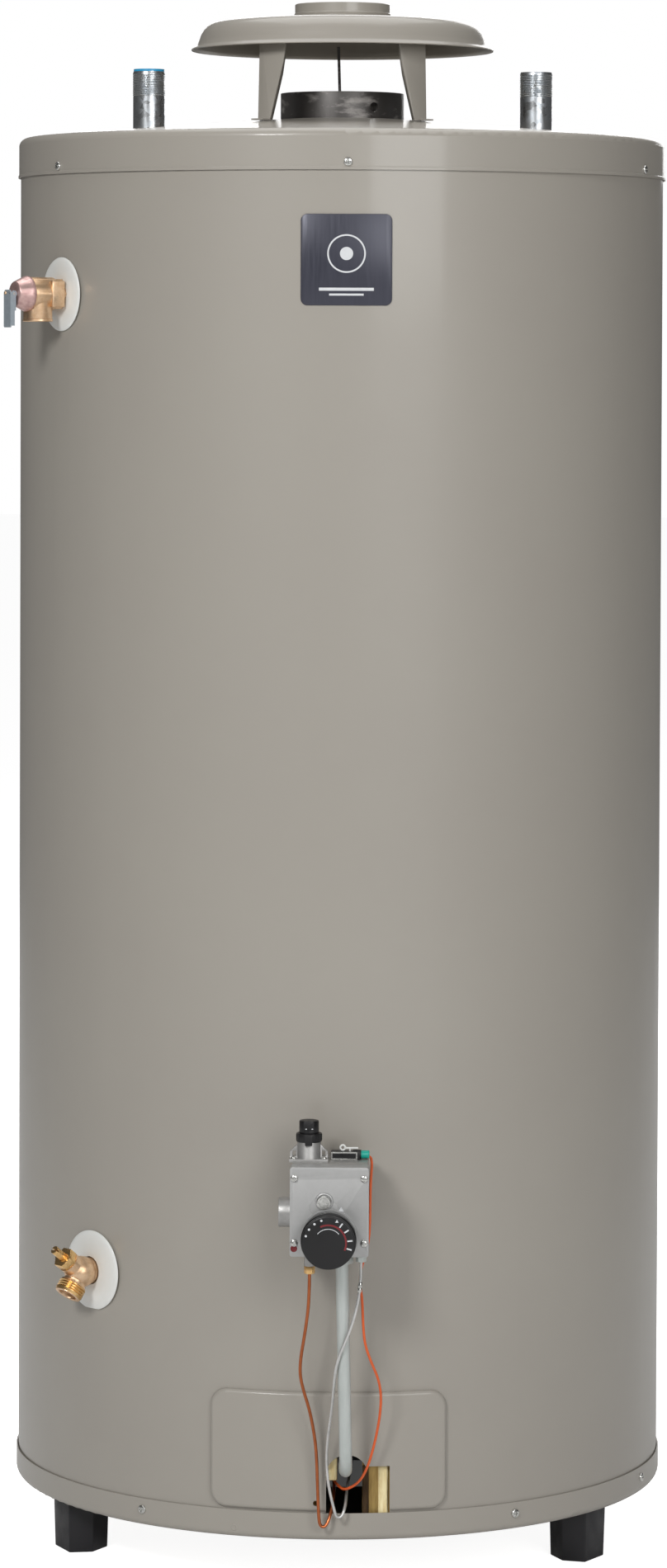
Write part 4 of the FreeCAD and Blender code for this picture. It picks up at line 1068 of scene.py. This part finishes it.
    def igniter(self) -> None:
        """Makes the igniter's thin steel frame and its green button."""
        face = facing(0, -self.igniter_front, 0)
        frame_bar = Bench.block("igniter_frame", (3.6, self.top + 0.2, -0.3),
                                (29.4, self.top + 7.9, 0.5))
        window = Bench.block("window", (5.1, self.top + 1.6, -1), (27.9, self.top + 6.5, 1))
        frame_bar.less(window).eased(0.12, 1)
        frame_bar.settle(PLATED_SCREW, face)
        button = Bench.turned("igniter_cap", [(0.4, 0), (3.95, 0), (3.95, 11.2), (3.6, 11.8),
                                              (3.0, 12), (0.4, 12)], 40)
        seat = standing(29, -379, self.top + 4.7) @ Matrix.Rotation(math.radians(90), 4, "Y")
        button.settle(MOULDED_GREEN, seat, "igniter_button", "igniter_button")

    def lead_fittings(self) -> None:
        """Makes the crimp on the silver line."""
        crimp = Bench.turned("line_crimp", [(1.6, -5), (2.1, -4.2), (2.1, -1.2), (1.8, -0.6),
                                            (2.1, 0), (2.1, 4.2), (1.6, 5)], 24)
        lean = Vector((1.6, 3, 16)).to_track_quat("Z", "Y").to_matrix().to_4x4()
        spot = standing(32.5, -394.3, 320.5) @ lean
        crimp.settle(PLATED_SCREW, spot, slot="bare_steel")


@dataclass
class AirOpening:
    """What shows through the air opening in the front: the wool round the burner chamber."""

    def build(self) -> None:
        """Makes the wool band, its fold and patch in painted highlight, and the strip of painted
        shade between them.
        """
        wool = Bench.of_node("wool_band", "chamber_insulation")
        wool.use("TRIANGULATE")
        wool.settle(GLASS_WOOL, node="chamber_insulation")
        # Blocks of painted highlight and painted shade laid over the wool band.
        for name, low, high, finish in (
                ("wool_fold_painted_highlight", (49.5, -331.3, 76), (59.5, -326, 132), WOOL_PAINTED_HIGHLIGHT),
                ("wool_strip_painted_shade", (34.3, -334.2, 76), (40.5, -329, 132), WOOL_PAINTED_SHADE),
                ("wool_patch_painted_highlight", (-5, -335.3, 116.4), (9.1, -331, 146), WOOL_PAINTED_HIGHLIGHT)):
            Bench.block(name, low, high).eased(2, 4).settle(finish)


@dataclass
class Studio:
    """The camera, the soft lights and the pale floor."""

    eye: Point = (0.1465, -5.2456, 1.2463)
    turn_deg: float = 1.6
    tilt_deg: float = 1.6055
    roll_deg: float = 0.2146
    lens_mm: float = 114.54
    shift: tuple[float, float] = (-0.0047, -0.1942)
    ambient: float = 0.085
    floor_glow: float = 0.05
    floor_shown: float = 0.9
    aim_height: float = 0.8

    def build(self) -> None:
        """Makes the whole studio."""
        self.camera()
        self.world()
        self.softbox("key", (-2.0, -4.6, 3.4), (1.1, 1.1), 136.0)
        self.softbox("fill", (2.1, -4.7, 2.5), (2.4, 2.4), 98.0)
        self.softbox("top", (0.0, 0.6, 4.4), (3.4, 3.4), 85.0)
        self.softbox("rear", (0.4, 5.0, 2.8), (2.6, 2.6), 80.0)
        self.floor()

    def camera(self) -> None:
        """Places the camera."""
        data = bpy.data.cameras.new("camera")
        data.lens = self.lens_mm
        data.sensor_width = 36.0
        data.shift_x, data.shift_y = self.shift
        data.clip_end = 100
        eye = linked(bpy.data.objects.new("camera", data))
        eye.matrix_world = (Matrix.Translation(self.eye)
                            @ Matrix.Rotation(math.radians(self.turn_deg), 4, "Z")
                            @ Matrix.Rotation(math.radians(90 - self.tilt_deg), 4, "X")
                            @ Matrix.Rotation(math.radians(self.roll_deg), 4, "Z"))
        bpy.context.scene.camera = eye

    def world(self) -> None:
        """Makes a white room that looks full white and lights a little softer."""
        scene = bpy.context.scene
        scene.view_settings.view_transform = "Standard"
        room = bpy.data.worlds.new("room")
        room.use_nodes = True
        scene.world = room
        tree = room.node_tree
        tree.nodes.clear()
        seen = add(tree, "ShaderNodeBackground", {"Color": (1, 1, 1, 1), "Strength": 1.0})
        lit = add(tree, "ShaderNodeBackground",
                  {"Color": (1, 1, 1, 1), "Strength": self.ambient})
        ray = add(tree, "ShaderNodeLightPath")
        both = add(tree, "ShaderNodeMixShader", {},
                   {0: ray.outputs["Is Camera Ray"], 1: lit.outputs[0], 2: seen.outputs[0]})
        add(tree, "ShaderNodeOutputWorld", {}, {"Surface": both.outputs[0]})

    def softbox(self, name: str, place: Point, size: tuple[float, float], power: float) -> None:
        """Adds one soft rectangular light aimed at the middle of the heater.

        Args:
            name: the light's name.
            place: where it stands, in metres.
            size: its width and height, in metres.
            power: its power, in watts.
        """
        data = bpy.data.lights.new(name, "AREA")
        data.shape = "RECTANGLE"
        data.size, data.size_y = size
        data.energy = power
        lamp = linked(bpy.data.objects.new(name, data))
        lamp.location = place
        aim = Vector((0, 0, self.aim_height)) - Vector(place)
        lamp.rotation_euler = aim.to_track_quat("-Z", "Y").to_euler()

    def floor(self) -> None:
        """Lays the pale floor, with a dark disc of painted shade under the burner."""
        bpy.ops.object.select_all(action="DESELECT")
        bpy.ops.mesh.primitive_plane_add(size=60, location=(0, 0, 0))
        ground = bpy.context.object
        ground.name = "floor"
        paint = bpy.data.materials.new("pale_floor")
        paint.use_nodes = True
        tree = paint.node_tree
        skin = tree.nodes["Principled BSDF"]
        skin.inputs["Roughness"].default_value = 0.9
        skin.inputs["Emission Color"].default_value = (1, 1, 1, 1)
        ray = add(tree, "ShaderNodeLightPath")
        place = add(tree, "ShaderNodeTexCoord").outputs["Object"]
        spot = add(tree, "ShaderNodeMapping", {"Location": (0, -0.12, 0)}, {"Vector": place})
        far = add(tree, "ShaderNodeVectorMath", {"operation": "LENGTH"}, {0: spot.outputs[0]})
        # Painted shade: a dark grey disc under the burner, with no glow to the camera, so the air
        # opening reads dark.
        clear_of_painted_shade = add(tree, "ShaderNodeMapRange", {"From Min": 0.17, "From Max": 0.21},
                         {"Value": far.outputs["Value"]})
        # Dark grey painted shade inside the disc, the pale floor outside it.
        shade = add(tree, "ShaderNodeMix",
                    {"data_type": "RGBA", 6: linear("262626"), 7: linear("e6e6e6")},
                    {0: clear_of_painted_shade.outputs[0]})
        tree.links.new(shade.outputs[2], skin.inputs["Base Color"])
        shown = add(tree, "ShaderNodeMath", {"operation": "MULTIPLY"},
                    {0: ray.outputs["Is Camera Ray"], 1: clear_of_painted_shade.outputs[0]})
        glow = add(tree, "ShaderNodeMapRange",
                   {"To Min": self.floor_glow, "To Max": self.floor_shown},
                   {"Value": shown.outputs[0]})
        tree.links.new(glow.outputs[0], skin.inputs["Emission Strength"])
        ground.data.materials.append(paint)


@dataclass
class Line:
    """A thin tube or lead that hangs between two fittings."""

    name: str
    node: str
    finish: Finish
    radius_mm: float
    length_m: float
    stiffness: str
    points_mm: Sequence[Point]

    def build(self) -> bpy.types.Object:
        """Builds the line as one open NURBS curve.

        Returns:
            The curve's object.
        """
        curve = bpy.data.curves.new(self.name, "CURVE")
        curve.dimensions = "3D"
        curve.bevel_depth = self.radius_mm * MM
        curve.bevel_resolution = 5
        curve.resolution_u = 8
        curve.use_fill_caps = True
        spline = curve.splines.new("NURBS")
        spline.points.add(len(self.points_mm) - 1)
        for target, point in zip(spline.points, self.points_mm):
            target.co = (*(value * MM for value in point), 1.0)
        spline.order_u = 3
        spline.use_endpoint_u = True
        made = linked(bpy.data.objects.new(self.name, curve))
        dress(made, self.finish)
        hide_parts(self.node)
        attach(made, BODY)
        LOG.info("%s: %d points", self.name, len(self.points_mm))
        return made


LINES = (
    Line("pilot_gas_tube", "pilot_tube", DRAWN_COPPER, 1.6, 0.4897, "stiff", (
        (-16.9, -391, 340.4), (-16.9, -391, 328), (-17.2, -390.8, 314), (-18.2, -389.5, 296),
        (-21.5, -386, 272), (-25.6, -381, 248), (-26.6, -376, 230), (-22.8, -370, 212),
        (-17.8, -365, 195), (-14.4, -361, 178), (-11.4, -357.5, 158), (-10.2, -355, 138),
        (-9.6, -353.4, 118), (-9, -352.4, 101), (-8.4, -351.8, 86), (-7.2, -351, 74.6),
        (-1.4, -350, 73.6), (3, -346.4, 83.8), (5, -336, 95), (6, -316, 102), (4.6, -286, 107),
        (1, -245, 112), (-0.4, -210, 121), (-1, -180, 134), (-1, -160, 148.6))),
    Line("thermocouple_line", "thermocouple_lead", DRAWN_STEEL, 1.5, 0.4925, "stiff", (
        (33.6, -391, 352.4), (33.6, -391.3, 341), (33.2, -393, 328), (31.6, -396, 312),
        (28.4, -398, 296), (23.6, -398, 280), (17.6, -396.6, 265), (11.6, -394, 250),
        (8.2, -388.4, 234), (6.8, -380.6, 216), (5, -372, 197), (2.4, -364.5, 178),
        (0.2, -359, 160), (-0.8, -356, 142), (0.2, -354.4, 125), (2.6, -353.2, 109),
        (6.2, -352.2, 94.4), (8.8, -351.4, 83.6), (14.4, -349.6, 83.6), (17.6, -345, 92.4),
        (18.4, -332, 100), (18.6, -310, 105), (20, -280, 109), (21, -245, 113),
        (21.4, -210, 121), (20, -180, 134), (18, -160, 148.6))),
    Line("igniter_lead", "igniter_wire", SLEEVE_ORANGE, 1.3, 0.562, "medium", (
        (31.8, -373.4, 445.6), (41.8, -372.6, 447.2), (43.6, -372, 438), (42.4, -372.6, 425),
        (41.9, -373.6, 406), (41.8, -376, 386), (41.2, -379.6, 368), (38.4, -382.6, 352),
        (33.6, -383.6, 338), (32, -385.4, 323), (34.6, -387.2, 308), (35.2, -387, 293),
        (36, -384, 276), (37.6, -382, 261),
        (43.6, -377, 243), (50.6, -371.5, 226), (53.4, -366, 208), (52.2, -361, 189),
        (49, -357.5, 169), (44.6, -355, 150), (39.4, -353.2, 133), (32.4, -351.6, 120),
        (23.6, -349, 113), (15.6, -340, 108.4), (8.4, -326, 111), (3.6, -304, 112.4),
        (-1.4, -276, 113), (-5, -245, 115.4), (-7.6, -210, 122), (-9, -180, 134),
        (-9, -160, 148.6))),
)


def main() -> None:
    """Builds every part of the picture in order."""
    logging.basicConfig(level=logging.INFO, format="%(message)s")
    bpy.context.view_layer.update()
    Studio().build()
    for line in LINES:
        line.build()
    for finish, names in NODE_FINISHES:
        for name in names.split():
            dress(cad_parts[name], finish)
    for assembly in (Casing(), Crown(), ReliefValve(), DrainValve(), GasControl(), AirOpening()):
        assembly.build()
        LOG.info("%s done", type(assembly).__name__)


if __name__ == "__main__":
    main()
